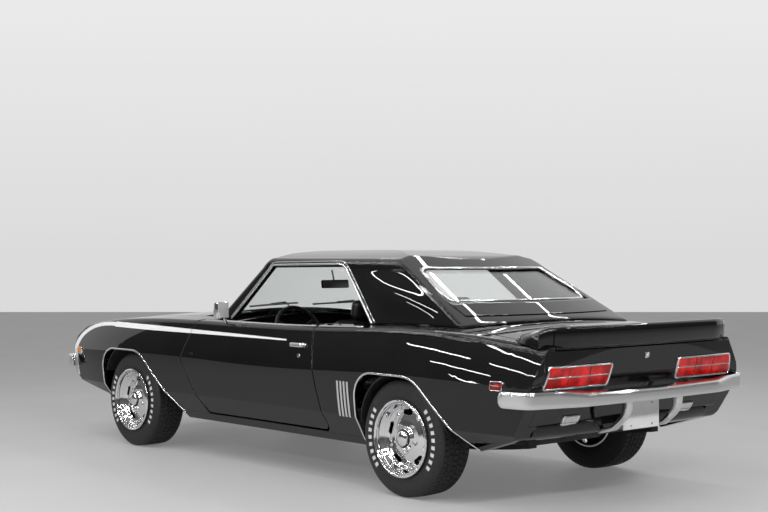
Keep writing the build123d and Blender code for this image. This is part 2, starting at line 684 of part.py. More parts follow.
PAD_Y = 380
PAD_W = 60
front_pad = block(2280, 2340, PAD_Y, PAD_Y + PAD_W, FRONT_BUMPER_Z + 20, FRONT_BUMPER_Z + 70)
front_pads = with_mirror(front_pad) - (Pos(SEAT_CLEAR, 0, 0) * outer)
PIECES["front_bumper"] = bumper(FRONT_OUTSIDE, FRONT_INSIDE, FRONT_BUMPER_Z, FRONT_BUMPER_H, 30) + front_pads
GUARD_Y = 196
GUARD_W = 36
GUARD_OUTLINE = [
    (-2300, REAR_BUMPER_Z + 20, 0),
    (-2346, REAR_BUMPER_Z + 20, 0),
    (-2335, 480, 120),
    (-2235, 395, 60),
    (-2140, 372, 0),
    (-2140, 392, 0),
    (-2225, 420, 60),
    (-2300, 490, 100),
]
guard = side_prism(outline_face(GUARD_OUTLINE), GUARD_Y, GUARD_Y + GUARD_W)
rear_pad = block(-2330, -2200, PAD_Y, PAD_Y + PAD_W, REAR_BUMPER_Z + 14, REAR_BUMPER_Z + 60)
rear_fixings = with_mirror(guard) + with_mirror(rear_pad)
rear_fixings = rear_fixings - behind - (Pos(-SEAT_CLEAR, 0, -SEAT_CLEAR) * outer)
rear_band = mirror(bumper(REAR_OUTSIDE, REAR_INSIDE, REAR_BUMPER_Z, REAR_BUMPER_H, 45), about=Plane.YZ)
PIECES["rear_bumper"] = rear_band + rear_fixings

# Blank plate, on a bracket of the rear valance.
PLATE_X = -2240
PLATE_W = 304
PLATE_H = 154
PLATE_LOW_Z = 392
PLATE_WALL = 4
valance = shell & tail_zone & block(-FAR, FAR, -FAR, FAR, 0, VALANCE_TOP_Z)
PIECES["rear_valance"] = valance + block(PLATE_X + SEAT_CLEAR, TAIL_SEAM_X - 45, -60, 60, 500, 540)
plate_x = PLATE_X - PLATE_WALL
PIECES["plate"] = block(plate_x, PLATE_X, -PLATE_W / 2, PLATE_W / 2, PLATE_LOW_Z, PLATE_LOW_Z + PLATE_H)

# Floor pan with its tunnel, and the firewall.
FLOOR_PATH = [
    # x, z of the floor's top from the firewall to the tail
    (FIREWALL_X, FLOOR_Z),
    (-560, FLOOR_Z),
    (-650, 410),
    (-1020, 520),
    (-1640, 520),
    (-1760, 420),
    (TAIL_SEAM_X, 420),
]
floor_low = [(x, z - FLOOR_WALL) for x, z in reversed(FLOOR_PATH)]
floor_face = make_face(Polyline(*FLOOR_PATH, *floor_low, close=True).edges())
tunnel_room = rod((FAR, 0, TUNNEL_Z), (TUNNEL_REAR_X, 0, TUNNEL_Z), TUNNEL_R - TUNNEL_WALL)
tunnel_outside = rod((FIREWALL_X - SEAT_CLEAR, 0, TUNNEL_Z), (TUNNEL_REAR_X, 0, TUNNEL_Z), TUNNEL_R)
tunnel = (tunnel_outside - tunnel_room) & block(-FAR, FAR, -FAR, FAR, FLOOR_Z - FLOOR_WALL, FAR)
floor = side_prism(floor_face, -FLOOR_HALF_Y, FLOOR_HALF_Y) - tunnel_room + tunnel
house_inner_y = HOUSES[1][2] - HOUSE_WALL - 2
wheel_room = block(REAR_AXLE_X - 407, REAR_AXLE_X + 383, house_inner_y, FAR, 0, FAR)
floor = floor - wheel_room - mirrored(wheel_room)
PIECES["floor_pan"] = floor & (Pos(SEAT_CLEAR, 0, 0) * inner)
firewall = block(FIREWALL_X, FIREWALL_X + FIREWALL_WALL, -COWL_HALF_Y, COWL_HALF_Y, FLOOR_Z - FLOOR_WALL, FAR)
firewall = firewall - tunnel_room - block(-FAR, FIREWALL_X + SEAT_CLEAR, -FAR, FAR, 0, FAR)
PIECES["firewall"] = firewall & (Pos(0, 0, -SEAT_CLEAR) * cowl_low)

# Wheelhouses: part rings over each tyre, the front ones wide enough to steer in.
houses = []
for axle_x, radius, inner_y, lowest_z in HOUSES:
    ring = cross_rod(axle_x, TYRE_R, radius + HOUSE_WALL, inner_y - HOUSE_WALL, FAR)
    ring = ring - cross_rod(axle_x, TYRE_R, radius, inner_y, FAR)
    ring = ring & block(-FAR, FAR, 0, FAR, lowest_z, FAR)
    houses.append(ring & (Pos(0, -SEAT_CLEAR, -SEAT_CLEAR) * inner))
PIECES["wheelhouses"] = both_sides(*houses)

# Front subframe, control arms and knuckles.
RAIL_INNER_Y = 370
RAIL_OUTER_Y = 430
RAIL_LOW_Z = 235
RAIL_HIGH_Z = 315
TOWER_Y = 470
TOWER_TOP_Z = 480
ARM_SPREAD = 130
LOWER_ARM_R = 12
UPPER_ARM_R = 10
BALL_R = 18
KNUCKLE_R = 22
LOWER_BALL_Z = 186
UPPER_BALL_Z = 450
rail = block(bracket_x, 2140, RAIL_INNER_Y, RAIL_OUTER_Y, RAIL_LOW_Z, RAIL_HIGH_Z)
tower = block(FRONT_AXLE_X - 50, FRONT_AXLE_X + 50, RAIL_OUTER_Y - 30, TOWER_Y, RAIL_HIGH_Z - 15, TOWER_TOP_Z)
front_cross = block(2000, 2140, -RAIL_OUTER_Y, RAIL_OUTER_Y, RAIL_LOW_Z, RAIL_HIGH_Z)
axle_cross = block(FRONT_AXLE_X - 60, FRONT_AXLE_X + 60, -RAIL_OUTER_Y, RAIL_OUTER_Y, 200, 300)
PIECES["front_subframe"] = with_mirror(rail + tower) + front_cross + axle_cross
lower_arm = upright(FRONT_AXLE_X, KINGPIN_Y, BALL_R, LOWER_BALL_Z - 32, LOWER_BALL_Z)
upper_arm = upright(FRONT_AXLE_X, KINGPIN_Y, BALL_R, UPPER_BALL_Z + SEAT_CLEAR, UPPER_BALL_Z + 30)
lower_end = (FRONT_AXLE_X, KINGPIN_Y, LOWER_BALL_Z - 16)
upper_end = (FRONT_AXLE_X, KINGPIN_Y, UPPER_BALL_Z + 16)
for spread in (-1, 1):
    lower_start = (FRONT_AXLE_X + spread * ARM_SPREAD, RAIL_OUTER_Y - 10, 265)
    upper_start = (FRONT_AXLE_X + spread * 30, TOWER_Y - 40, UPPER_BALL_Z + 12)
    lower_arm = lower_arm + rod(lower_start, lower_end, LOWER_ARM_R)
    upper_arm = upper_arm + rod(upper_start, upper_end, UPPER_ARM_R)
knuckle_room = upright(FRONT_AXLE_X, KINGPIN_Y, KNUCKLE_R + SHUT_GAP, LOWER_BALL_Z, UPPER_BALL_Z + SEAT_CLEAR)
lower_arm = lower_arm - knuckle_room - block(-FAR, FAR, 0, RAIL_OUTER_Y + SEAT_CLEAR, 0, FAR)
upper_arm = upper_arm - knuckle_room - block(-FAR, FAR, 0, TOWER_Y + SEAT_CLEAR, 0, FAR)
PIECES["control_arms"] = both_sides(lower_arm, upper_arm)
spindle_end_y = WHEEL_Y + 60
knuckle = upright(FRONT_AXLE_X, KINGPIN_Y, KNUCKLE_R, LOWER_BALL_Z + SEAT_CLEAR, UPPER_BALL_Z)
knuckle = knuckle + cross_rod(FRONT_AXLE_X, TYRE_R, SPINDLE_R, KINGPIN_Y, spindle_end_y)
knuckle = knuckle + cross_rod(FRONT_AXLE_X, TYRE_R, DRUM_R, KINGPIN_Y + 29, KINGPIN_Y + 47)
PIECES["knuckle_left"] = knuckle
PIECES["knuckle_right"] = mirrored(knuckle)

# Rear axle on its leaf springs.
TUBE_R = 38
DIFF_R = 125
LEAF_Y = 490
LEAF_W = 60
LEAF_SEAT_Z = 272
LEAF_HALF = 620
LEAF_RISE = 46
LEAF_WALL = 18
axle = cross_rod(REAR_AXLE_X, TYRE_R, TUBE_R, -KINGPIN_Y, KINGPIN_Y)
axle = axle + Pos(REAR_AXLE_X, 0, TYRE_R) * Sphere(DIFF_R)
axle = axle + cross_rod(REAR_AXLE_X, TYRE_R, SPINDLE_R, -spindle_end_y, spindle_end_y)
drum = cross_rod(REAR_AXLE_X, TYRE_R, DRUM_R, KINGPIN_Y - 7, KINGPIN_Y + 55)
pad_low = LEAF_SEAT_Z + 2 * SEAT_CLEAR
spring_pad = block(REAR_AXLE_X - 40, REAR_AXLE_X + 40, LEAF_Y, LEAF_Y + LEAF_W, pad_low, TYRE_R - 20)
PIECES["rear_axle"] = axle + with_mirror(drum + spring_pad)
leaf_front = REAR_AXLE_X + LEAF_HALF
leaf_rear = REAR_AXLE_X - LEAF_HALF
leaf_end = LEAF_SEAT_Z + LEAF_RISE
leaf_edges = [
    ThreePointArc((leaf_front, leaf_end), (REAR_AXLE_X, LEAF_SEAT_Z), (leaf_rear, leaf_end)),
    Line((leaf_rear, leaf_end), (leaf_rear, leaf_end - LEAF_WALL)),
    ThreePointArc(
        (leaf_rear, leaf_end - LEAF_WALL),
        (REAR_AXLE_X, LEAF_SEAT_Z - LEAF_WALL),
        (leaf_front, leaf_end - LEAF_WALL),
    ),
    Line((leaf_front, leaf_end - LEAF_WALL), (leaf_front, leaf_end)),
]
leaf = side_prism(make_face(leaf_edges), LEAF_Y, LEAF_Y + LEAF_W)
shackles = block(leaf_front - 45, leaf_front + 5, LEAF_Y, LEAF_Y + LEAF_W, leaf_end - LEAF_WALL, 600)
shackles = shackles + block(leaf_rear - 5, leaf_rear + 40, LEAF_Y, LEAF_Y + LEAF_W, leaf_end - LEAF_WALL, 600)
above_floor = make_face(Polyline(*FLOOR_PATH, (TAIL_SEAM_X, 900), (FIREWALL_X, 900), close=True).edges())
leaf_limit = Pos(0, 0, -FLOOR_WALL - SEAT_CLEAR) * side_prism(above_floor, 0, FAR)
PIECES["leaf_springs"] = both_sides(leaf + shackles - leaf_limit)

# Engine with gearbox, driveshaft, radiator, fuel tank and exhaust.
GEARBOX_REAR_X = 120
PIPE_Y = 260
PIPE_R = 24
MUFFLER_R = 62
MUFFLER_X = REAR_AXLE_X - 307
engine = block(780, 1420, -250, 250, 300 + SEAT_CLEAR, 700) + upright(1100, 0, 180, 700, 790)
PIECES["engine_block"] = engine + rod((GEARBOX_REAR_X, 0, SHAFT_Z), (781, 0, SHAFT_Z), 105)
shaft_rear = (REAR_AXLE_X + DIFF_R + 2 * SEAT_CLEAR, 0, TYRE_R)
PIECES["driveshaft"] = rod((GEARBOX_REAR_X - 3 * SEAT_CLEAR, 0, SHAFT_Z), shaft_rear, SHAFT_R)
PIECES["radiator"] = block(2010, 2060, -330, 330, RAIL_HIGH_Z + SEAT_CLEAR, 760)
tank_top = 420 - FLOOR_WALL - SEAT_CLEAR
tank = block(-2080, -1770, -330, 330, 280, tank_top)
PIECES["fuel_tank"] = fillet(tank.edges().filter_by(Axis.Z), 30)
pipe_z = FLOOR_Z - FLOOR_WALL - PIPE_R - 2 * SEAT_CLEAR
pipe = rod((FIREWALL_X - 10, PIPE_Y, pipe_z), (MUFFLER_X + 40, PIPE_Y, pipe_z), PIPE_R)
PIECES["exhaust"] = with_mirror(pipe) + cross_rod(MUFFLER_X, pipe_z + 11, MUFFLER_R, -330, 330)

# Dashboard, steering column and steering wheel.
DASH_OUTLINE = [
    (FIREWALL_X, 640, 0),
    (FIREWALL_X, 835, 0),
    (440, 850, 40),
    (400, 800, 20),
    (450, 640, 20),
]
toward = Vector(-cos(STEER_TILT), 0, sin(STEER_TILT))
centre = Vector(*STEER_CENTRE)


def along_column(start, end, radius):
    """A round bar on the steering axis, by distances below the wheel's centre."""
    return rod(tuple(centre - toward * start), tuple(centre - toward * end), radius)


PIECES["dashboard"] = side_prism(outline_face(DASH_OUTLINE), -DASH_HALF_Y, DASH_HALF_Y)
PIECES["dashboard"] -= along_column(320, 20, COLUMN_R + SEAT_CLEAR)
PIECES["steering_column"] = along_column(300, 32, COLUMN_R) - along_column(90, 20, STEM_R + SEAT_CLEAR)
wheel_plane = Plane(origin=centre, x_dir=(0, 1, 0), z_dir=toward)
steering = Torus(STEER_R, 11) + Cylinder(38, 30) + Pos(0, 0, -40) * Cylinder(STEM_R, 90)
for angle in (90, 210, 330):
    steering = steering + Rot(0, 0, angle) * (Pos(105, 0, 0) * Box(155, 24, 8))
PIECES["steering_wheel"] = wheel_plane.location * steering

# Seats: two in front with headrests, and a bench behind.
SEAT_OUTLINE = [
    (150, 300, 0),
    (160, 440, 50),
    (130, 480, 40),
    (-280, 450, 40),
    (-400, 900, 30),
    (-500, 900, 40),
    (-470, 400, 30),
    (-440, 300, 0),
]
HEADREST_OUTLINE = [(-415, 890, 0), (-430, 1040, 25), (-500, 1040, 25), (-490, 890, 0)]
BENCH_OUTLINE = [
    (-650, 410.5, 0),
    (-630, 560, 40),
    (-900, 570, 40),
    (-1040, 915, 30),
    (-1150, 915, 20),
    (-1060, 520.5, 0),
    (-1020, 520.5, 0),
]
seat = side_prism(outline_face(SEAT_OUTLINE), TUNNEL_R + 6, 640)
seat = seat + block(-380, 60, 220, 590, FLOOR_Z + SEAT_CLEAR, 301)
seat = seat + side_prism(outline_face(HEADREST_OUTLINE), 270, 500)
PIECES["front_seats"] = both_sides(seat)
bench = side_prism(outline_face(BENCH_OUTLINE), -600, 600)
tunnel_end = (TUNNEL_REAR_X - 1, 0, TUNNEL_Z)
PIECES["rear_seat"] = bench - rod((FIREWALL_X, 0, TUNNEL_Z), tunnel_end, TUNNEL_R + SEAT_CLEAR)

# Wheels: a tyre and a slotted rim on each corner.
SLOT_COUNT = 5
SLOT_R = 140
tyre = revolve(outline_face(TYRE_SECTION), Axis.Y)
rim = revolve(outline_face(RIM_SECTION), Axis.Y)
slot = Pos(0, 50, SLOT_R) * (Rot(90, 0, 0) * extrude(SlotOverall(74, 30), 80, both=True))
for number in range(SLOT_COUNT):
    rim = rim - Rot(0, number * 360 / SLOT_COUNT, 0) * slot
for corner, axle_x, side in WHEELS:
    place = Pos(axle_x, side * WHEEL_Y, TYRE_R)
    PIECES["rim_" + corner] = place * (rim if side > 0 else mirrored(rim))
    PIECES["tyre_" + corner] = place * tyre

os.makedirs("parts", exist_ok=True)
for name, shape in PIECES.items():
    shape.label = name
    export_step(shape, f"parts/{name}.step")
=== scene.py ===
"""Looks of a black two-door hardtop coupe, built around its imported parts."""

import json
from math import cos, pi, radians, sin, tan

import bmesh
import bpy
from mathutils import Matrix, Vector
from mathutils.bvhtree import BVHTree


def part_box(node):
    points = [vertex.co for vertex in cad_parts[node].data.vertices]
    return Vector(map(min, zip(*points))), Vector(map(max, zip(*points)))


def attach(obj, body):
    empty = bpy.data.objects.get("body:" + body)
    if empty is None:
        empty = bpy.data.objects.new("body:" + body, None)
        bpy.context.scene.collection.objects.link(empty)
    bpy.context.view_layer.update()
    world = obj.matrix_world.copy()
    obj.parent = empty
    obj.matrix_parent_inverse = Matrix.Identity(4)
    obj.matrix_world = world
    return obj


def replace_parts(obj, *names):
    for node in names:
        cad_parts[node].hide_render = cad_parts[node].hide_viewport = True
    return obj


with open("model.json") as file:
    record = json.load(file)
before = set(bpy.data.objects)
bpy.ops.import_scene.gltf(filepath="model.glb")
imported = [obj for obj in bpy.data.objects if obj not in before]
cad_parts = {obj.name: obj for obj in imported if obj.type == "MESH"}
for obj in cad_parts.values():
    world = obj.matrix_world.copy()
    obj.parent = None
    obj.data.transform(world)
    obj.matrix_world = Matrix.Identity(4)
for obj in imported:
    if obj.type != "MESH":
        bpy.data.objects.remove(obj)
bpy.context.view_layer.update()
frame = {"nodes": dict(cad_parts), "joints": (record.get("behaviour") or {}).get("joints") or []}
NODES = frame["nodes"]
SCENE = bpy.context.scene
SIDES = (("left", 1), ("right", -1))

# Wheel places, read from the frame's joints.
JOINTS = {joint["name"]: joint for joint in frame["joints"]}
CORNERS = [end + "_" + side for end in ("front", "rear") for side, _ in SIDES]
WHEELS = {corner: Vector(JOINTS["wheel_" + corner + "_spin"]["pos_m"]) for corner in CORNERS}
TYRE_R = WHEELS["front_left"].z

# Where lines towards the body start, and how far they reach.
SIDE_OUT = 1.3
END_OUT = 3.5
SIDE_REACH = 0.62
ROOF_REACH = 0.95
LAMP_REACH = 1.4
FAR_REACH = 9.0


# Mesh helpers.


def add_piece(name, verts, faces, material, body="body", sharp_deg=35):
    """A mesh piece that rides on a body, smooth but for edges past the angle."""
    mesh = bpy.data.meshes.new(name)
    mesh.from_pydata([tuple(v) for v in verts], [], faces)
    builder = bmesh.new()
    builder.from_mesh(mesh)
    bmesh.ops.recalc_face_normals(builder, faces=builder.faces)
    builder.to_mesh(mesh)
    builder.free()
    mesh.materials.append(material)
    mesh.shade_smooth()
    mesh.set_sharp_from_angle(angle=radians(sharp_deg))
    piece = bpy.data.objects.new(name, mesh)
    SCENE.collection.objects.link(piece)
    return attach(piece, body)


def add_built(name, builder, material, body, sharp_deg):
    """A piece from a mesh under construction."""
    builder.verts.index_update()
    verts = [v.co.copy() for v in builder.verts]
    faces = [tuple(v.index for v in f.verts) for f in builder.faces]
    builder.free()
    return add_piece(name, verts, faces, material, body, sharp_deg)


def grid_faces(rows, columns, wrap_rows=False, wrap_columns=False):
    """Quads between rows of points, each row holding the same count."""
    faces = []
    for i in range(rows if wrap_rows else rows - 1):
        here = i * columns
        there = (i + 1) % rows * columns
        for j in range(columns if wrap_columns else columns - 1):
            side = (j + 1) % columns
            faces.append((here + j, here + side, there + side, there + j))
    return faces


def add_loft(name, rings, material, body="body", sharp_deg=40, closed=False):
    """A skin over rings of points; its ends meet where closed and are capped where not."""
    size = len(rings[0])
    last = (len(rings) - 1) * size
    faces = grid_faces(len(rings), size, wrap_rows=closed, wrap_columns=True)
    if not closed:
        faces += [tuple(range(size)), tuple(range(last, last + size))]
    verts = [point for ring in rings for point in ring]
    return add_piece(name, verts, faces, material, body, sharp_deg)


def add_sheet(name, outer, inner, material):
    """A thin closed skin between outer and inner rows of points."""
    rings = [front + back[::-1] for front, back in zip(outer, inner)]
    return add_loft(name, rings, material, "body", 50)


def rounded_path(rows, step, closed=False):
    """Points along corners given as (u, v, radius), with each corner rounded."""
    corners = [(Vector((u, v)), r) for u, v, r in rows]
    count = len(corners)
    points = []
    for i, (corner, radius) in enumerate(corners):
        end = not closed and i in (0, count - 1)
        back = (corners[i - 1][0] - corner).normalized()
        ahead = (corners[(i + 1) % count][0] - corner).normalized()
        turn = 0 if end else pi - back.angle(ahead)
        if radius == 0 or turn < 0.01:
            points.append(corner)
            continue
        centre = corner + (back + ahead).normalized() * (radius / cos(turn / 2))
        arm = corner + back * radius * tan(turn / 2) - centre
        swing = turn if back.cross(ahead) < 0 else -turn
        steps = max(4, int(radius * turn / step))
        points += [centre + Matrix.Rotation(swing * k / steps, 2) @ arm for k in range(steps + 1)]
    spaced = []
    for a, b in zip(points, points[1:] + ([points[0]] if closed else [])):
        pieces = max(1, int((b - a).length / step))
        spaced += [a.lerp(b, k / pieces) for k in range(pieces)]
    return spaced if closed else spaced + [points[-1]]


def rectangle(low_u, high_u, low_v, high_v, radius):
    """Corner rows of a rounded rectangle."""
    corners = ((low_u, low_v), (low_u, high_v), (high_u, high_v), (high_u, low_v))
    return [(u, v, radius) for u, v in corners]


def straight(a, b, count):
    """Evenly spaced points between two points."""
    return [Vector(a).lerp(Vector(b), k / (count - 1)) for k in range(count)]


def span(sign, inner, outer):
    """The low and the high y of what reaches from inner to outer on one side."""
    return sorted((sign * inner, sign * outer))


def heading(path, i, closed):
    """The direction of a path at one of its points."""
    count = len(path)
    before = path[i - 1] if closed or i > 0 else path[i]
    after = path[(i + 1) % count] if closed or i < count - 1 else path[i]
    return (after - before).normalized()


def sweep(name, path, outs, profile, material, body="body", closed=False, sharp_deg=40):
    """A profile of (across, out) points carried along a path on a surface."""
    rings = []
    for i, point in enumerate(path):
        along = heading(path, i, closed)
        across = along.cross(outs[i]).normalized()
        out = across.cross(along).normalized()
        rings.append([point + across * u + out * v for u, v in profile])
    return add_loft(name, rings, material, body, sharp_deg, closed)


def half_round(width, height, base=-0.003, steps=8):
    """A domed moulding section whose back lies a little under the surface."""
    turns = [pi * k / steps for k in range(steps + 1)]
    dome = [(width / 2 * cos(turn), height * sin(turn)) for turn in turns]
    return dome + [(-width / 2, base), (width / 2, base)]


def tube(name, path, radius, material, body="body", closed=False, sides=10):
    """A round tube along free points."""
    path = [Vector(point) for point in path]
    outs = []
    # Any direction that no tube runs along will do to start from.
    side = Vector((0.12, 0.31, 0.94))
    for i in range(len(path)):
        along = heading(path, i, closed)
        side = (side - along * side.dot(along)).normalized()
        outs.append(side.copy())
    turns = [2 * pi * k / sides for k in range(sides)]
    section = [(radius * cos(turn), radius * sin(turn)) for turn in turns]
    return sweep(name, path, outs, section, material, body, closed, 60)


def turned(name, section, centre, axis, material, body="body", steps=64, sharp_deg=30):
    """A solid of revolution from (radius, along axis) points, closed on itself."""
    axis = Vector(axis).normalized()
    u = axis.orthogonal().normalized()
    v = axis.cross(u)
    rings = []
    for i in range(steps):
        angle = 2 * pi * i / steps
        ray = u * cos(angle) + v * sin(angle)
        rings.append([Vector(centre) + ray * r + axis * h for r, h in section])
    return add_loft(name, rings, material, body, sharp_deg, True)


def disc(name, centre, axis, radius, height, material, body="body", steps=40):
    """A low round boss with a softened rim, standing on a surface."""
    soft = min(radius, height) * 0.4
    rim = [(radius, -0.003), (radius, height - soft), (radius - soft, height)]
    return turned(name, [(0.0, -0.003)] + rim + [(0.0, height)], centre, axis, material, body, steps)


def bowed_bar(name, rows, ends, bow, lift, material):
    """A section of (x, z) rows carried across the car, its ends moved along by the bow and up by the lift."""
    low, high = ends
    steps = max(6, int((high - low) / 0.04))
    rings = []
    for k in range(steps + 1):
        y = low + (high - low) * k / steps
        rings.append([Vector((x + bow * y * y, y, z + lift * y * y)) for x, z in rows])
    return add_loft(name, rings, material)


def rounded_box(name, low, high, radius, material, body="body", tilt_deg=0.0):
    """A box with rounded edges between two corners, tilted about the car's cross axis."""
    low = Vector(low)
    high = Vector(high)
    builder = bmesh.new()
    bmesh.ops.create_cube(builder, size=1, matrix=Matrix.Diagonal((*(high - low), 1)))
    bmesh.ops.bevel(builder, geom=builder.edges, offset=radius, segments=3, profile=0.5, affect="EDGES")
    place = Matrix.Translation((low + high) / 2) @ Matrix.Rotation(radians(tilt_deg), 4, "Y")
    bmesh.ops.transform(builder, matrix=place, verts=builder.verts)
    return add_built(name, builder, material, body, 50)


def skin(*names):
    """A search tree over some of the frame's pieces at rest."""
    verts = []
    faces = []
    for name in names:
        mesh = NODES[name].data
        start = len(verts)
        verts += [v.co.copy() for v in mesh.vertices]
        faces += [tuple(start + i for i in p.vertices) for p in mesh.polygons]
    return BVHTree.FromPolygons(verts, faces)


def on_skin(tree, start, direction):
    """Where a line meets the skin, with the outward direction there, or nothing."""
    place, normal, _, _ = tree.ray_cast(Vector(start), Vector(direction))
    if place is None:
        return None
    return place, -normal if normal.dot(Vector(direction)) > 0 else normal


def laid(tree, starts, direction, reach=FAR_REACH):
    """Points and smoothed outward directions where lines meet a skin within reach."""
    hits = [on_skin(tree, start, direction) for start in starts]
    near = [h for h, s in zip(hits, starts) if h and (h[0] - Vector(s)).length < reach]
    outs = [normal for _, normal in near]
    smooth = [sum(outs[max(0, i - 2): i + 3], Vector()).normalized() for i in range(len(outs))]
    return [place for place, _ in near], smooth


def from_side(tree, points, sign, reach=SIDE_REACH):
    """Where points of the side view fall on a skin."""
    return laid(tree, [(p.x, sign * SIDE_OUT, p.y) for p in points], (0, -sign, 0), reach)


def from_end(tree, points, sign, reach=FAR_REACH):
    """Where points of the end view fall on a skin, from ahead or from behind."""
    return laid(tree, [(sign * END_OUT, p.x, p.y) for p in points], (-sign, 0, 0), reach)


def outset(points, centre, distance):
    """A flat path moved away from a point that lies inside it."""
    moved = []
    count = len(points)
    for i, point in enumerate(points):
        along = points[min(i + 1, count - 1)] - points[max(i - 1, 0)]
        normal = Vector((-along.y, along.x)).normalized()
        if normal.dot(point - Vector(centre)) < 0:
            normal = -normal
        moved.append(point + normal * distance)
    return moved


# Materials.


def grey(value):
    return (value, value, value, 1)


class Shader:
    """Node building for one material or world."""

    def __init__(self, block, main="Principled BSDF"):
        self.block = block
        block.use_nodes = True
        self.nodes = block.node_tree.nodes
        self.links = block.node_tree.links
        self.main = self.nodes[main]

    def plug(self, socket, value):
        """Set a socket to a value, or link it to another node's output."""
        if isinstance(value, bpy.types.NodeSocket):
            self.links.new(value, socket)
        else:
            socket.default_value = value

    def feed(self, node, **inputs):
        """Plug a node's inputs by name."""
        for key, value in inputs.items():
            self.plug(node.inputs[key.replace("_", " ").title().replace("Ior", "IOR")], value)
        return node

    def set(self, **inputs):
        self.feed(self.main, **inputs)

    def node(self, kind, **inputs):
        return self.feed(self.nodes.new("ShaderNode" + kind), **inputs)

    def coords(self, kind="Object"):
        return self.node("TexCoord").outputs[kind]

    def axes(self, kind="Object"):
        return self.node("SeparateXYZ", vector=self.coords(kind)).outputs

    def noise(self, scale, detail=4.0):
        return self.node("TexNoise", vector=self.coords(), scale=scale, detail=detail).outputs["Fac"]

    def bands(self, pitch):
        node = self.node("TexWave", vector=self.coords(), scale=pitch)
        node.bands_direction = "Y"
        return node.outputs["Fac"]

    def math(self, operation, *values):
        node = self.node("Math")
        node.operation = operation
        for socket, value in zip(node.inputs, values):
            self.plug(socket, value)
        return node.outputs[0]

    def remap(self, value, low, high, to_low=0, to_high=1):
        limits = {"from_min": low, "from_max": high, "to_min": to_low, "to_max": to_high}
        return self.node("MapRange", value=value, **limits).outputs["Result"]

    def mix(self, factor, a, b):
        node = self.node("Mix", factor=factor)
        node.data_type = "RGBA"
        self.plug(node.inputs[6], a)
        self.plug(node.inputs[7], b)
        return node.outputs[2]

    def bump(self, height, distance, strength):
        node = self.node("Bump", height=height, distance=distance, strength=strength)
        self.set(normal=node.outputs["Normal"])

    def soft_edges(self, radius):
        node = self.node("Bevel", radius=radius)
        node.samples = 6
        self.set(normal=node.outputs["Normal"], coat_normal=node.outputs["Normal"])

    def vary_roughness(self, low, high, scale):
        self.set(roughness=self.remap(self.noise(scale), 0.3, 0.7, low, high))

    def vary_colour(self, dark, light, scale):
        tone = self.remap(self.noise(scale), 0.3, 0.7)
        self.set(base_color=self.mix(tone, grey(dark), grey(light)))


def new_shader(name):
    return Shader(bpy.data.materials.new(name))


# The white stripe's path on the body side, in metres.
STRIPE_END_X = -0.276
STRIPE_FULL_X = 1.2
STRIPE_THIN = 0.25
STRIPE_REAR_Z = 0.812
STRIPE_RISE = 0.011
STRIPE_BEND_X = 1.7
STRIPE_FRONT_X = 2.24
STRIPE_LEG_Z = 0.6
STRIPE_LOW_Z = 0.44
STRIPE_W = 0.034
STRIPE_LEG_W = 0.75 * STRIPE_W
STRIPE_INNER_Y = 0.76
STRIPE_ROUND = 2.4


def stripe_mask(shader):
    """One inside the side stripe: a taper on the door, a run along the fender, a leg down its front."""
    math = shader.math
    x, y, z = shader.axes()
    middle = math("MULTIPLY_ADD", x, STRIPE_RISE, STRIPE_REAR_Z)
    taper = shader.remap(x, STRIPE_END_X, STRIPE_FULL_X, STRIPE_THIN, 1.0)
    offset = math("ABSOLUTE", math("SUBTRACT", z, middle))
    run = math("LESS_THAN", offset, math("MULTIPLY", taper, STRIPE_W / 2))
    run = math("MULTIPLY", run, math("GREATER_THAN", x, STRIPE_END_X))
    run = math("MULTIPLY", run, math("LESS_THAN", x, STRIPE_BEND_X))
    leg = STRIPE_REAR_Z + STRIPE_RISE * STRIPE_BEND_X - STRIPE_LEG_Z
    across = math("DIVIDE", math("SUBTRACT", x, STRIPE_BEND_X), STRIPE_FRONT_X - STRIPE_BEND_X)
    up = math("DIVIDE", math("SUBTRACT", z, STRIPE_LEG_Z), leg)
    across, up = [math("POWER", math("MAXIMUM", arm, 0.0), STRIPE_ROUND) for arm in (across, up)]
    ring = math("POWER", math("ADD", across, up), 1 / STRIPE_ROUND)
    aside = math("ABSOLUTE", math("SUBTRACT", ring, 1.0))
    bend = math("LESS_THAN", aside, STRIPE_LEG_W / 2 / leg)
    bend = math("MULTIPLY", bend, math("GREATER_THAN", x, STRIPE_BEND_X))
    bend = math("MULTIPLY", bend, math("GREATER_THAN", z, STRIPE_LOW_Z))
    on_side = math("GREATER_THAN", math("ABSOLUTE", y), STRIPE_INNER_Y)
    return math("MULTIPLY", math("MAXIMUM", run, bend), on_side)


def make_paint(name, edge, striped=False):
    """Deep gloss black under a clear coat, with a white stripe on the side where asked."""
    shader = new_shader(name)
    shader.set(specular_ior_level=0.0, coat_weight=1.0, coat_roughness=0.015, coat_ior=1.5)
    tone = shader.remap(shader.noise(3.0), 0.35, 0.65)
    colour = shader.mix(tone, grey(0.0025), grey(0.0045))
    if striped:
        colour = shader.mix(stripe_mask(shader), colour, grey(0.88))
    shader.set(base_color=colour)
    shader.vary_roughness(0.3, 0.4, 40.0)
    shader.soft_edges(edge)
    return shader.block


def make_chrome(name, rough, edge=0.003):
    """Plated steel with faint wiping marks."""
    shader = new_shader(name)
    shader.set(base_color=(0.8, 0.8, 0.81, 1), metallic=1.0)
    shader.vary_roughness(rough * 0.7, rough * 1.5, 22.0)
    shader.soft_edges(edge)
    return shader.block


def make_plain(name, dark, light, rough, grain_scale, grain_depth, metallic=0.0):
    """A satin surface with a fine grain and uneven tone."""
    shader = new_shader(name)
    shader.set(metallic=metallic)
    shader.vary_colour(dark, light, grain_scale / 12)
    shader.vary_roughness(rough * 0.85, min(1.0, rough * 1.15), grain_scale / 6)
    shader.bump(shader.noise(grain_scale, 6.0), grain_depth, 0.6)
    return shader.block


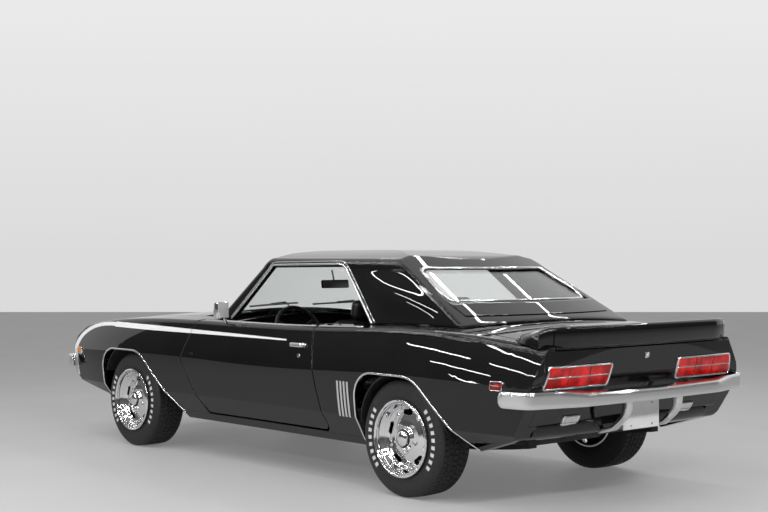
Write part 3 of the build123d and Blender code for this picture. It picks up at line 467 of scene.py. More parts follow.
def make_ribbed(name, dark, light, rough, pitch, depth, metallic=0.0):
    """A surface with fine parallel ribs, as on pleats and cooling fins, its colour painted darker in the
    grooves as painted shade and lighter on the crests as painted highlight.
    """
    shader = new_shader(name)
    ribs = shader.bands(pitch)
    # Painted shade and highlight: the colour follows the ribs, dark in the grooves and light on the crests.
    shader.set(metallic=metallic, base_color=shader.mix(ribs, grey(dark), grey(light)))
    shader.vary_roughness(rough * 0.85, min(1.0, rough * 1.15), 60.0)
    shader.bump(ribs, depth, 0.7)
    return shader.block


def make_glass(name, tint, rough):
    """Clear thin glass with a slight tint and faint unevenness."""
    shader = new_shader(name)
    shader.set(base_color=tint, roughness=rough, transmission_weight=1.0, ior=1.02)
    shader.set(coat_weight=1.0, coat_roughness=0.01, coat_ior=1.5)
    shader.bump(shader.noise(1.5, 1.0), 0.0006, 0.15)
    return shader.block


def make_lens(name, deep, bright, pitch):
    """Moulded lamp plastic with ribs inside it."""
    shader = new_shader(name)
    shader.set(roughness=0.08, specular_ior_level=0.2, coat_weight=0.4, coat_roughness=0.02)
    ribs = shader.bands(pitch)
    cells = shader.node("TexVoronoi", vector=shader.coords(), scale=pitch * 3).outputs["Distance"]
    glow = shader.remap(shader.noise(11.0, 1.0), 0.36, 0.64, 0, 0.75)
    fine = shader.math("MULTIPLY_ADD", ribs, 0.12, shader.math("MULTIPLY", cells, 0.2))
    colour = shader.mix(shader.math("ADD", glow, fine), deep, bright)
    shader.set(base_color=colour, emission_color=colour, emission_strength=0.18)
    shader.bump(ribs, 0.0008, 0.5)
    return shader.block


PAINT = make_paint("gloss_black", 0.005)
PAINT_ROUND = make_paint("gloss_black_round", 0.028)
PAINT_STRIPED = make_paint("gloss_black_striped", 0.005, True)
CHROME = make_chrome("chrome", 0.05)
BUMPER_CHROME = make_chrome("bumper_chrome", 0.05, 0.03)
BRIGHT = make_chrome("bright_trim", 0.12)
MIRROR = make_plain("mirror_glass", 0.62, 0.7, 0.16, 60.0, 0.0, 0.35)
RUBBER = make_plain("tyre_rubber", 0.01, 0.02, 0.62, 900.0, 0.0003)
WHITE_RUBBER = make_plain("white_rubber", 0.62, 0.74, 0.7, 700.0, 0.0003)
UNDERBODY = make_plain("underbody_black", 0.008, 0.016, 0.6, 300.0, 0.0005)
SATIN = make_plain("satin_black", 0.008, 0.014, 0.42, 500.0, 0.0002)
VINYL = make_plain("black_vinyl", 0.01, 0.016, 0.42, 420.0, 0.0006)
# The two greys of the pleated vinyl and the cooling fins are painted shade in the grooves and a painted
# highlight on the crests.
PLEATED = make_ribbed("pleated_vinyl", 0.008, 0.017, 0.42, 5.2, 0.006)
CARPET = make_plain("carpet", 0.01, 0.024, 0.95, 700.0, 0.003)
FINS = make_ribbed("cooling_fins", 0.02, 0.1, 0.5, 60.0, 0.004, 0.6)
IRON = make_plain("cast_iron", 0.05, 0.09, 0.65, 260.0, 0.0006, 0.7)
STEEL = make_plain("steel", 0.34, 0.46, 0.35, 180.0, 0.0003, 1.0)
AGED_STEEL = make_plain("aged_steel", 0.04, 0.08, 0.5, 160.0, 0.0004, 1.0)
PLATE_WHITE = make_plain("plate_white", 0.86, 0.9, 0.4, 300.0, 0.0001)
DIAL = make_plain("dial_face", 0.02, 0.03, 0.5, 300.0, 0.0001)
GLASS = make_glass("window_glass", (0.86, 0.9, 0.89, 1), 0.0)
CLEAR_LENS = make_glass("clear_lens", (0.95, 0.96, 0.97, 1), 0.05)
RED_LENS = make_lens("red_lens", (0.16, 0.001, 0.001, 1), (0.8, 0.012, 0.009, 1), 24.0)
DARK_LENS = make_lens("dark_red_lens", (0.05, 0.001, 0.001, 1), (0.26, 0.004, 0.004, 1), 24.0)
AMBER_LENS = make_lens("amber_lens", (0.45, 0.1, 0.01, 1), (0.75, 0.25, 0.03, 1), 30.0)
WHITE_LENS = make_lens("white_lens", (0.55, 0.56, 0.57, 1), (0.85, 0.86, 0.87, 1), 30.0)

NODE_FINISH = {
    PAINT: "quarter_left quarter_right rockers hood rear_deck_panel deck_lid tail_panel rear_valance "
           "cowl_panel nose_panel".split(),
    PAINT_ROUND: ["roof"],
    PAINT_STRIPED: "fender_left fender_right door_left door_right".split(),
    CHROME: ["rim_" + corner for corner in CORNERS],
    BUMPER_CHROME: ["front_bumper", "rear_bumper"],
    BRIGHT: ["gills"],
    GLASS: ["windshield", "rear_window"],
    RED_LENS: ["tail_lamps"],
    DARK_LENS: ["side_markers"],
    WHITE_LENS: ["reversing_lamps"],
    VINYL: ["dashboard"],
    SATIN: ["steering_wheel", "steering_column", "grille"],
    PLATE_WHITE: ["plate"],
    IRON: ["engine_block", "rear_axle", "knuckle_left", "knuckle_right"],
    FINS: ["radiator"],
}


def finish_nodes():
    """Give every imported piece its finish; the front side lamps are amber."""
    finish = {name: material for material, names in NODE_FINISH.items() for name in names}
    for name, node in NODES.items():
        node.data.materials.clear()
        node.data.materials.append(finish.get(name, UNDERBODY))
    lamps = NODES["side_markers"].data
    lamps.materials.append(AMBER_LENS)
    for face in lamps.polygons:
        face.material_index = 1 if face.center.x > 0 else 0


# Bright mouldings along the body's openings, as corner rows of the side and end views.

ARCH_ROWS = [(0.375, 0.1, 0.0), (0.348, 0.66, 0.15), (-0.13, 0.66, 0.22), (-0.565, 0.25, 0.0)]
ARCH_LIP = 0.005
ARCH_FOOT_Z = 0.262
DRIP_ROWS = [(0.462, 0.905, 0.0), (0.19, 1.252, 0.05), (-0.502, 1.262, 0.115), (-0.905, 0.905, 0.0)]
DRIP_CENTRE = (-0.1, 1.0)
GUTTER_LIFT = 0.018
SCREEN_ROWS = [(-0.69, 0.965, 0.0), (-0.556, 1.243, 0.045), (0.556, 1.243, 0.045), (0.69, 0.965, 0.0)]
BACK_ROWS = [(-0.6, 1.055, 0.05), (-0.514, 1.236, 0.06), (0.514, 1.236, 0.06), (0.6, 1.055, 0.05)]
GRILLE_ROWS = rectangle(-0.741, 0.741, 0.554, 0.742, 0.04)
PATH_STEP = 0.012
BELT_Y = 0.8
BELT_ABOVE = 1.2
BELT_REACH = 0.4
BELTS = [
    # panel, rear x, front x
    ("door", -0.485, 0.455),
    ("quarter", -0.9, -0.515),
]


def side_moulding(name, points, tree, sign, size, reach=SIDE_REACH, closed=False):
    """A moulding of one width and height on the body side, from points of the side view."""
    sweep(name, *from_side(tree, points, sign, reach), half_round(*size), CHROME, "body", closed)


def end_moulding(name, rows, tree, sign, size, closed=True):
    """A moulding of one width and height on a front or a rear, from rows of the end view."""
    points = rounded_path(rows, PATH_STEP, closed)
    sweep(name, *from_end(tree, points, sign), half_round(*size), CHROME, "body", closed)


def add_side_mouldings(side, sign):
    """Lips of the wheel openings, the drip rail with its gutter, and the belt strips."""
    panels = skin("fender_" + side, "quarter_" + side, "rockers")
    for end in ("front", "rear"):
        axle = WHEELS[end + "_" + side]
        rows = [(axle.x + u, z, r) for u, z, r in ARCH_ROWS]
        points = outset(rounded_path(rows, PATH_STEP), (axle.x, TYRE_R), ARCH_LIP)
        points = [p for p in points if p.y > ARCH_FOOT_Z]
        side_moulding(f"arch_{end}_{side}", points, panels, sign, (0.011, 0.0035))
    roof = skin("roof")
    drip = rounded_path(DRIP_ROWS, PATH_STEP)
    side_moulding("drip_rail_" + side, drip, roof, sign, (0.016, 0.009), ROOF_REACH)
    gutter = outset(drip, DRIP_CENTRE, GUTTER_LIFT)
    side_moulding("drip_gutter_" + side, gutter, roof, sign, (0.007, 0.005), ROOF_REACH)
    for part, *ends_x in BELTS:
        panel = part + "_" + side
        rear, front = [(x, sign * BELT_Y, BELT_ABOVE) for x in ends_x]
        hits = laid(skin(panel), straight(rear, front, 41), (0, 0, -1), BELT_REACH)
        body = panel if part == "door" else "body"
        sweep("belt_" + panel, *hits, half_round(0.018, 0.007), CHROME, body)


def add_end_mouldings():
    """Surrounds of the windshield, the rear window and the grille."""
    end_moulding("screen_surround", SCREEN_ROWS, skin("roof"), 1, (0.018, 0.006), False)
    end_moulding("back_surround", BACK_ROWS, skin("roof", "rear_window"), -1, (0.018, 0.01))
    end_moulding("grille_surround", GRILLE_ROWS, skin("nose_panel"), 1, (0.012, 0.006))


# Lip spoiler across the tail.

TAIL_BOW = 0.058
SPOILER_HALF = 0.716
CAP_OUTER = 0.792
CAP_GAP = 0.007
END_TURN_Y = 0.6
END_SWEEP = 0.052
END_DROP = 0.3
END_SHORTEN = 0.62
SPOILER_FOOT_Z = 0.846
SPOILER_REAR_X = -2.313
SPOILER_ROWS = [
    # x, z on the centre line, from the front foot over the top to the rear foot
    (-2.0, 0.88), (-2.06, 0.912), (-2.14, 0.927), (-2.22, 0.945), (-2.28, 0.9575), (-2.296, 0.958),
    (-2.3075, 0.953), (SPOILER_REAR_X, 0.94), (-2.306, 0.852), (-2.298, SPOILER_FOOT_Z),
    (-2.27, SPOILER_FOOT_Z), (-2.2, 0.86),
]


def add_spoiler_part(name, y_low, y_high, node, body):
    """A length of the lip spoiler; towards its ends it sweeps forward, shortens and drops."""
    steps = max(8, int((y_high - y_low) / 0.02))
    rings = []
    for k in range(steps + 1):
        y = y_low + (y_high - y_low) * k / steps
        end = max(0.0, (abs(y) - END_TURN_Y) / (CAP_OUTER - END_TURN_Y))
        rear = SPOILER_REAR_X + TAIL_BOW * y * y + END_SWEEP * end ** 2
        length = 1 - END_SHORTEN * end ** 3
        height = 1 - END_DROP * end ** 5
        ring = []
        for x, z in SPOILER_ROWS:
            along = rear + (x - SPOILER_REAR_X) * length
            ring.append(Vector((along, y, SPOILER_FOOT_Z + (z - SPOILER_FOOT_Z) * height)))
        rings.append(ring)
    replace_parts(add_loft(name, rings, PAINT, body, 50), node)


def add_spoiler():
    """The lid's part of the lip spoiler and its two fixed ends."""
    add_spoiler_part("lip_spoiler", -SPOILER_HALF, SPOILER_HALF, "spoiler", "deck_lid")
    for side, sign in SIDES:
        low_y, high_y = span(sign, SPOILER_HALF + CAP_GAP, CAP_OUTER)
        add_spoiler_part("lip_cap_" + side, low_y, high_y, "spoiler_caps", "body")


# Panels that close the body, with the tank, the muffler and the parking lamps.

PAN_HALF = 0.735
REAR_PAN_ROWS = [
    # x, z of the rolled pan's section on the centre line, outside and then inside
    (-2.16, 0.47), (-2.17, 0.43), (-2.16, 0.4), (-2.13, 0.381), (-2.06, 0.362), (-1.94, 0.345),
    (-1.94, 0.351), (-2.06, 0.368), (-2.128, 0.387), (-2.154, 0.404), (-2.162, 0.432), (-2.154, 0.47),
]
FRONT_PAN_ROWS = [
    # x, z of the front pan's section on the centre line, outside and then inside
    (2.226, 0.44), (2.226, 0.37), (2.212, 0.315), (2.186, 0.268), (2.15, 0.232),
    (2.146, 0.238), (2.18, 0.273), (2.206, 0.318), (2.22, 0.37), (2.22, 0.44),
]
FRONT_PAN_LIFT = 0.26
PARK_LAMP_ROWS = [(2.222, 0.364), (2.2305, 0.367), (2.233, 0.386), (2.2305, 0.405), (2.222, 0.408)]
PARK_LAMP_Y = (0.43, 0.59)
TANK_CORNERS = ((-2.075, -0.33, 0.352), (-1.77, 0.33, 0.409))
MUFFLER_CORNERS = ((-1.735, -0.33, 0.262), (-1.535, 0.33, 0.362))
PIPE_Y = 0.26
PIPE_R = 0.024
PIPE_ROWS = [(0.68, 0.213), (-1.06, 0.213), (-1.24, 0.222), (-1.4, 0.235), (-1.5, 0.275), (-1.57, 0.305)]
TULIP_LOW_Z = 0.984
TULIP_TOP_Z = 1.052
TULIP_HALF = 0.6
TULIP_OUT = 0.004
TULIP_STEPS = 8
BACK_RAKE = 1.9


def add_pans():
    """Rolled pans under the nose and the tail, and the two parking lamps."""
    bowed_bar("rear_pan", REAR_PAN_ROWS, (-PAN_HALF, PAN_HALF), TAIL_BOW, 0.0, PAINT)
    bowed_bar("front_pan", FRONT_PAN_ROWS, (-PAN_HALF, PAN_HALF), -TAIL_BOW, FRONT_PAN_LIFT, PAINT)
    for side, sign in SIDES:
        ends = span(sign, *PARK_LAMP_Y)
        bowed_bar("park_lamp_" + side, PARK_LAMP_ROWS, ends, -TAIL_BOW, FRONT_PAN_LIFT, AMBER_LENS)


def add_tank_and_exhaust():
    """A flat tank, and twin pipes that pass under the axle to a flat cross muffler."""
    tank = rounded_box("flat_tank", *TANK_CORNERS, 0.02, UNDERBODY)
    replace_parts(tank, "fuel_tank")
    muffler = rounded_box("muffler", *MUFFLER_CORNERS, 0.045, AGED_STEEL)
    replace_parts(muffler, "exhaust")
    for side, sign in SIDES:
        tube("pipe_" + side, [(x, sign * PIPE_Y, z) for x, z in PIPE_ROWS], PIPE_R, AGED_STEEL)


def add_tulip_panel():
    """The panel at the foot of the rear window."""
    points = straight((-TULIP_HALF, TULIP_LOW_Z), (TULIP_HALF, TULIP_LOW_Z), 61)
    places, _ = from_end(skin("roof"), points, -1)
    rises = [(TULIP_TOP_Z - TULIP_LOW_Z) * k / TULIP_STEPS for k in range(TULIP_STEPS + 1)]
    layers = []
    for out in (TULIP_OUT, -TULIP_OUT):
        shifts = [Vector((BACK_RAKE * (rise - out), 0, rise)) for rise in rises]
        layers.append([[place + shift for shift in shifts] for place in places])
    add_sheet("tulip_panel", *layers, PAINT)


# Crowned skins over the sail panels, between x, z corners at their front and rear.

SAIL_LOW = ((-0.95, 0.932), (-1.5, 0.948))
SAIL_TOP = ((-0.585, 1.24), (-1.06, 1.232))
SAIL_CROWN = 0.016
SAIL_SUNK = 0.0012
SAIL_DEPTH = 0.006
SAIL_ROUND = 1.3
SAIL_STEPS = 28


def add_sail_panel(side, sign):
    """A gently crowned skin over a flat sail panel."""
    roof = skin("roof")
    parts = [k / SAIL_STEPS for k in range(SAIL_STEPS + 1)]
    outer = []
    inner = []
    for rise in parts:
        front, rear = [Vector(low).lerp(Vector(top), rise) for low, top in zip(SAIL_LOW, SAIL_TOP)]
        spots = [front.lerp(rear, back) for back in parts]
        hits = [on_skin(roof, (spot.x, sign * SIDE_OUT, spot.y), (0, -sign, 0)) for spot in spots]
        swells = [max(0.0, sin(pi * rise) * sin(pi * back)) ** SAIL_ROUND for back in parts]
        outer.append([p + o * (SAIL_CROWN * swell - SAIL_SUNK) for (p, o), swell in zip(hits, swells)])
        inner.append([p - o * SAIL_DEPTH for p, o in hits])
    add_sheet("sail_panel_" + side, outer, inner, PAINT)


# Lamps, locks, handles and plate.

LAMP_ROWS = [(0.294, 0.646, 0.012), (0.284, 0.756, 0.012), (0.765, 0.756, 0.012), (0.791, 0.646, 0.012)]
LAMP_BARS_Y = (0.454, 0.614)
LAMP_BARS_Z = (0.652, 0.75)
DIVIDER_Y = (0.296, 0.77)
DIVIDER_Z = 0.701
REVERSE_ROWS = rectangle(0.427, 0.548, 0.437, 0.491, 0.006)
MARKERS = [
    # end, rear x, front x, low z, high z
    ("front", 2.125, 2.193, 0.603, 0.645),
    ("rear", -2.078, -2.004, 0.637, 0.677),
]
MARKER_ROUND = 0.006
HEADLAMP = (2.215, 0.636, 0.648)
BOWL_ROWS = [
    # radius, distance forward
    (0.0, 0.004), (0.04, 0.01), (0.07, 0.024), (0.08, 0.04),
    (0.083, 0.04), (0.083, 0.001), (0.0, 0.001),
]
DOME_ROWS = [
    # radius, distance forward, outside and then inside
    (0.0, 0.056), (0.03, 0.054), (0.058, 0.048), (0.079, 0.038),
    (0.079, 0.034), (0.058, 0.044), (0.03, 0.05), (0.0, 0.052),
]
BEZEL_ROWS = [(0.077, 0.03), (0.077, 0.044), (0.081, 0.05), (0.09, 0.046), (0.094, 0.03)]


def add_lamp_trim(side, sign):
    """Frames, bars and dividers of the tail lamp, the reversing lamp and the side lamps."""
    tail = skin("tail_panel")
    rows = [(sign * u, v, r) for u, v, r in LAMP_ROWS]
    end_moulding("tail_frame_" + side, rows, tail, -1, (0.013, 0.013))
    for number, across in enumerate(LAMP_BARS_Y):
        low, high = [(sign * across, z) for z in LAMP_BARS_Z]
        hits = from_end(tail, straight(low, high, 12), -1)
        sweep(f"tail_bar_{side}_{number}", *hits, half_round(0.008, 0.012), SATIN)
    inner, outer = [(sign * y, DIVIDER_Z) for y in DIVIDER_Y]
    hits = from_end(skin("tail_lamps"), straight(inner, outer, 60), -1, LAMP_REACH)
    sweep("tail_divider_" + side, *hits, half_round(0.007, 0.004), CHROME)
    rows = [(sign * u, v, r) for u, v, r in REVERSE_ROWS]
    end_moulding("reversing_frame_" + side, rows, skin("rear_valance"), -1, (0.009, 0.012))
    panels = skin("fender_" + side, "quarter_" + side)
    for end, *edges in MARKERS:
        points = rounded_path(rectangle(*edges, MARKER_ROUND), 0.006, True)
        side_moulding(f"marker_frame_{end}_{side}", points, panels, sign, (0.008, 0.011), closed=True)


def add_headlamp(side, sign):
    """A round sealed lamp: a bright bowl, a domed glass and a bezel."""
    x, y, z = HEADLAMP
    where = ((x, sign * y, z), (1, 0, 0))
    turned("headlamp_bowl_" + side, BOWL_ROWS, *where, MIRROR)
    glass = turned("headlamp_glass_" + side, DOME_ROWS, *where, CLEAR_LENS)
    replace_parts(glass, "headlamps")
    turned("headlamp_bezel_" + side, BEZEL_ROWS, *where, CHROME)


HANDLE_ENDS = ((-0.47, 0.784), (-0.325, 0.784))
HANDLE_LAST = 23
GRIP_OUT = 0.017
GRIP_SLOPE = 6
KEY_X = -0.429
KEY_Z = 0.724
LOCK_Z = 0.785
PLATE_RIM = 0.007
PLATE_ROUND = 0.01
SCREW_Y = 0.089
SCREW_IN = 0.02


def add_handle(side, sign):
    """A door handle with its button, and the key lock."""
    body = "door_" + side
    door = skin(body)
    places, outs = from_side(door, straight(*HANDLE_ENDS, HANDLE_LAST + 1), sign)
    sweep("handle_base_" + side, places, outs, half_round(0.026, 0.005), CHROME, body)
    grip = []
    for k, (place, out) in enumerate(zip(places, outs)):
        slope = GRIP_SLOPE * min(k, HANDLE_LAST - k) / HANDLE_LAST
        grip.append(place + out * GRIP_OUT * min(1.0, slope))
    sweep("handle_grip_" + side, grip, outs, half_round(0.015, 0.007, -0.005), CHROME, body)
    disc("handle_button_" + side, places[2] + outs[2] * 0.004, outs[2], 0.014, 0.015, CHROME, body)
    key = on_skin(door, (KEY_X, sign * SIDE_OUT, KEY_Z), (0, -sign, 0))
    disc("key_lock_" + side, *key, 0.012, 0.004, CHROME, body)


def add_tail_fittings():
    """The trunk lock, and the plate's rim and screws."""
    place, out = on_skin(skin("tail_panel"), (-END_OUT, 0, LOCK_Z), (1, 0, 0))
    disc("trunk_lock", place, out, 0.017, 0.006, CHROME)
    disc("trunk_lock_core", place + out * 0.005, out, 0.008, 0.003, BRIGHT)
    low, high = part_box("plate")
    back = Vector((-1, 0, 0))
    edges = (low.y + PLATE_RIM, high.y - PLATE_RIM, low.z + PLATE_RIM, high.z - PLATE_RIM)
    points = rounded_path(rectangle(*edges, PLATE_ROUND), PATH_STEP, True)
    path = [Vector((low.x, p.x, p.y)) for p in points]
    sweep("plate_rim", path, [back] * len(path), half_round(0.004, 0.0015), PLATE_WHITE, closed=True)
    for side, sign in SIDES:
        for level, height in (("low", low.z + SCREW_IN), ("high", high.z - SCREW_IN)):
            place = (low.x, sign * SCREW_Y, height)
            disc(f"plate_screw_{side}_{level}", place, back, 0.006, 0.004, STEEL, steps=20)


# Tyres and wheel dressing.

TREAD_HALF = 0.087
TREAD_R = TYRE_R - 0.0003
WALL_ROWS = [
    # across, radius
    (0.101, 0.189), (0.106, 0.197), (0.1095, 0.205), (0.1085, 0.209), (0.1105, 0.213), (0.113, 0.228),
    (0.1146, 0.244), (0.1146, 0.262), (0.1132, 0.278), (0.1098, 0.292), (0.1045, 0.304), (0.0975, 0.3135),
    (0.091, 0.3185),
]
TREAD_STEPS = 40
TREAD_CROWN = 0.0028
TREAD_DEPTH = 0.007
PITCHES = 62
PITCH_STEPS = 6
GROOVES = (-0.054, -0.019, 0.019, 0.054)
GROOVE_HALF = 0.0045
CUT_SLANT = 0.9
CUT_SHARE = 0.17
CUT_DEPTH = 0.8 * TREAD_DEPTH
CENTRE_HALF = 0.02
MARK_LOW_R = 0.24
MARK_HIGH_R = 0.266
MARK_OUT = 0.0012
MARK_ARCS = (55, 235)
MARK_COUNT = 9
MARK_STEP_DEG = 9.0
MARK_WIDTH_DEG = 4.6


def tread_drop(across, turn):
    """How far the tread surface lies under its crown, from grooves along and cuts across."""
    crown = TREAD_CROWN * (across / TREAD_HALF) ** 2
    if any(abs(across - groove) < GROOVE_HALF for groove in GROOVES):
        return crown + TREAD_DEPTH
    slant = CUT_SLANT * abs(across) / TREAD_HALF
    phase = (turn * PITCHES / (2 * pi) + slant + (0.5 if abs(across) < CENTRE_HALF else 0.0)) % 1.0
    return crown + (CUT_DEPTH if phase < CUT_SHARE else 0.0)


def wheel_point(centre, across, radius, turn):
    """A point of a wheel by its distance across, radius and turn about the axle."""
    return centre + Vector((radius * sin(turn), across, radius * cos(turn)))


def wall_across(radius):
    """How far out the sidewall stands at a radius."""
    for (low_w, low_r), (high_w, high_r) in zip(WALL_ROWS, WALL_ROWS[1:]):
        if low_r <= radius <= high_r:
            return low_w + (high_w - low_w) * (radius - low_r) / (high_r - low_r)
    return WALL_ROWS[-1][0]


def add_tyre(corner):
    """A road tyre with cut tread and ribbed sidewalls."""
    centre = WHEELS[corner]
    around = PITCHES * PITCH_STEPS
    treads = [TREAD_HALF * (2 * k / TREAD_STEPS - 1) for k in range(TREAD_STEPS + 1)]
    rings = []
    for i in range(around):
        turn = 2 * pi * i / around
        rows = [(-w, r) for w, r in WALL_ROWS]
        rows += [(across, TREAD_R - tread_drop(across, turn)) for across in treads]
        rows += reversed(WALL_ROWS)
        rings.append([wheel_point(centre, w, r, turn) for w, r in rows])
    tyre = add_loft("road_tyre_" + corner, rings, RUBBER, "wheel_" + corner, 38, True)
    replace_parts(tyre, "tyre_" + corner)


def add_wall_marks(corner):
    """Plain white marks on a tyre's outer wall."""
    centre = WHEELS[corner]
    sign = 1 if centre.y > 0 else -1
    verts = []
    faces = []
    for start_deg in [arc + number * MARK_STEP_DEG for arc in MARK_ARCS for number in range(MARK_COUNT)]:
        faces += [tuple(len(verts) + v for v in face) for face in grid_faces(3, 4)]
        for k in range(3):
            turn = radians(start_deg + MARK_WIDTH_DEG * k / 2)
            for m in range(4):
                radius = MARK_LOW_R + (MARK_HIGH_R - MARK_LOW_R) * m / 3
                verts.append(wheel_point(centre, sign * (wall_across(radius) + MARK_OUT), radius, turn))
    add_piece("wall_marks_" + corner, verts, faces, WHITE_RUBBER, "wheel_" + corner)


WHEEL_TURNINGS = [
    # name, material, steps around, rows of radius and distance out
    ("ring_bead", CHROME, 120,
     [(0.198, 0.1255), (0.2035, 0.1295), (0.209, 0.1265), (0.2105, 0.121), (0.2, 0.121)]),
    ("ring_step", CHROME, 96,
     [(0.163, 0.066), (0.166, 0.0735), (0.17, 0.0785), (0.1725, 0.0785), (0.169, 0.066)]),
    ("hub_cap", CHROME, 64,
     [(0.0, 0.12), (0.02, 0.1195), (0.034, 0.116), (0.042, 0.109), (0.0455, 0.098), (0.0, 0.098)]),
    ("cap_collar", SATIN, 64,
     [(0.0445, 0.099), (0.0445, 0.1035), (0.0485, 0.1035), (0.0515, 0.0965), (0.0515, 0.092)]),
]
LUG_COUNT = 5
LUG_CIRCLE_R = 0.08
LUG_FOOT = 0.0745
NUT_ROWS = [(0.0, 0.0), (0.0105, 0.0), (0.0105, 0.012), (0.008, 0.017), (0.0, 0.018)]
BOSS_CIRCLE_R = 0.14
BOSS_FOOT = 0.062
BOSS_ROWS = [(0.0, 0.0), (0.017, 0.0), (0.012, 0.0035), (0.0, 0.005)]


def add_wheel_dressing(corner):
    """A bright ring, lug nuts, bosses and a plain cap on a wheel."""
    centre = WHEELS[corner]
    sign = 1 if centre.y > 0 else -1
    axis = (0, sign, 0)
    body = "wheel_" + corner
    for name, material, steps, rows in WHEEL_TURNINGS:
        turned(f"{name}_{corner}", rows, centre, axis, material, body, steps)
    for number in range(LUG_COUNT):
        turn = 2 * pi * (number + 0.5) / LUG_COUNT
        place = wheel_point(centre, sign * LUG_FOOT, LUG_CIRCLE_R, turn)
        turned(f"lug_{corner}_{number}", NUT_ROWS, place, axis, CHROME, body, 6, 20)
        place = wheel_point(centre, sign * BOSS_FOOT, BOSS_CIRCLE_R, turn)
        turned(f"rib_{corner}_{number}", BOSS_ROWS, place, axis, CHROME, body, 24)


# Seats.

SEATS = [
    # name, centre, length, width, thickness, tilt, replaced piece
    ("left_cushion", (-0.06, 0.418, 0.405), 0.47, 0.43, 0.15, -5, "front_seats"),
    ("left_back", (-0.405, 0.418, 0.68), 0.49, 0.43, 0.105, 75, None),
    ("left_headrest", (-0.462, 0.385, 0.98), 0.115, 0.225, 0.075, 80, None),
    ("right_cushion", (-0.06, -0.418, 0.405), 0.47, 0.43, 0.15, -5, None),
    ("right_back", (-0.405, -0.418, 0.68), 0.49, 0.43, 0.105, 75, None),
    ("right_headrest", (-0.462, -0.385, 0.98), 0.115, 0.225, 0.075, 80, None),
    ("rear_cushion", (-0.82, 0.0, 0.505), 0.4, 1.18, 0.13, -6, "rear_seat"),
    ("rear_back", (-1.035, 0.0, 0.735), 0.4, 1.18, 0.1, 68, None),
]
PUFF = 0.016
CUSHION_CUTS = 22
CUSHION_ROUND = 0.42
HEADREST_POSTS_Y = (0.33, 0.44)


def add_cushion(name, centre, length, width, thickness, tilt_deg, replaced):
    """A stuffed pad with a swelling face, rounded all over and piped round its edge."""
    half = Vector((length / 2, width / 2, thickness / 2))
    radius = CUSHION_ROUND * thickness
    inner = half - Vector((radius, radius, radius))
    builder = bmesh.new()
    bmesh.ops.create_cube(builder, size=2)
    bmesh.ops.subdivide_edges(builder, edges=builder.edges, cuts=CUSHION_CUTS, use_grid_fill=True)
    place = Matrix.Translation(centre) @ Matrix.Rotation(radians(tilt_deg), 4, "Y")
    for vert in builder.verts:
        unit = vert.co.copy()
        point = Vector([unit[k] * half[k] for k in range(3)])
        core = Vector([max(-inner[k], min(inner[k], point[k])) for k in range(3)])
        point = core + (point - core).normalized() * radius if (point - core).length > 0 else point
        swell = PUFF * (1 - unit.x ** 4) * (1 - unit.y ** 4)
        point.z += swell if unit.z > 0 else 0.0
        vert.co = place @ point
    pad = add_built("seat_" + name, builder, PLEATED, "body", 60)
    if replaced:
        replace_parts(pad, replaced)
    edge = rounded_path(rectangle(-half.x, half.x, -half.y, half.y, radius), 0.02, True)
    path = [place @ Vector((p.x, p.y, inner.z)) for p in edge]
    tube("seat_piping_" + name, path, 0.005, VINYL, "body", True, 8)


def add_seats():
    """All seats, with the posts of the headrests."""
    for row in SEATS:
        add_cushion(*row)
    for side, sign in SIDES:
        for across in HEADREST_POSTS_Y:
            ends = [(-0.44, sign * across, 0.89), (-0.457, sign * across, 0.95)]
            tube(f"headrest_post_{side}_{across:.2f}", ends, 0.006, CHROME)


# Plain boxes of the cabin, the trunk and the engine bay.

MIDDLE_BOXES = [
    # name, low corner, high corner, edge radius, material, tilt in degrees
    ("radio", (0.402, -0.1, 0.69), (0.44, 0.1, 0.755), 0.005, SATIN, 17),
    ("glove_lid", (0.398, -0.6, 0.68), (0.43, -0.25, 0.78), 0.006, VINYL, 17),
    ("dash_strip", (0.392, -0.64, 0.788), (0.412, 0.64, 0.798), 0.003, BRIGHT, 0),
    ("console", (-0.18, -0.085, 0.425), (0.3, 0.085, 0.475), 0.014, VINYL, 0),
    ("inner_mirror", (0.3, -0.115, 1.095), (0.322, 0.115, 1.15), 0.008, SATIN, 8),
    ("inner_mirror_face", (0.2975, -0.108, 1.101), (0.3005, 0.108, 1.144), 0.001, MIRROR, 8),
    ("radiator_cap_tank", (2.005, -0.335, 0.745), (2.066, 0.335, 0.775), 0.01, SATIN, 0),
    ("trunk_mat", (-2.13, -0.6, 0.42), (-1.78, 0.6, 0.43), 0.004, CARPET, 0),
]
SIDE_BOXES = [
    # name, rear x, front x, inner y, outer y, low z, high z, edge radius, material
    ("seat_frame", -0.32, 0.1, 0.235, 0.6, 0.252, 0.335, 0.012, SATIN),
    ("valve_cover", 0.83, 1.37, 0.19, 0.275, 0.695, 0.765, 0.02, CHROME),
    ("floor_mat", -0.54, 0.67, 0.205, 0.67, 0.252, 0.262, 0.004, CARPET),
]
DOOR_BOXES = [
    # name, rear x, front x, near and far depth from the inner face, low z, high z, edge radius, material
    ("door_card", -0.43, 0.56, 0.0, 0.007, 0.36, 0.85, 0.003, VINYL),
    ("armrest", -0.26, 0.06, 0.0, 0.06, 0.6, 0.65, 0.016, VINYL),
    ("card_strip", -0.42, 0.55, 0.006, 0.011, 0.7, 0.712, 0.002, BRIGHT),
    ("inner_pull", 0.29, 0.39, 0.006, 0.026, 0.664, 0.682, 0.006, CHROME),
]
CRANK_X = 0.19
CRANK_Z = 0.56
KNOB_X = 0.108
KNOB_Z = 0.545


def add_boxes():
    """Boxes on the centre line, then those that come in pairs."""
    for name, low, high, radius, material, tilt_deg in MIDDLE_BOXES:
        rounded_box(name, low, high, radius, material, "body", tilt_deg)
    for side, sign in SIDES:
        for name, rear_x, front_x, inner, outer, low_z, high_z, radius, material in SIDE_BOXES:
            low_y, high_y = span(sign, inner, outer)
            corners = ((rear_x, low_y, low_z), (front_x, high_y, high_z))
            rounded_box(f"{name}_{side}", *corners, radius, material)


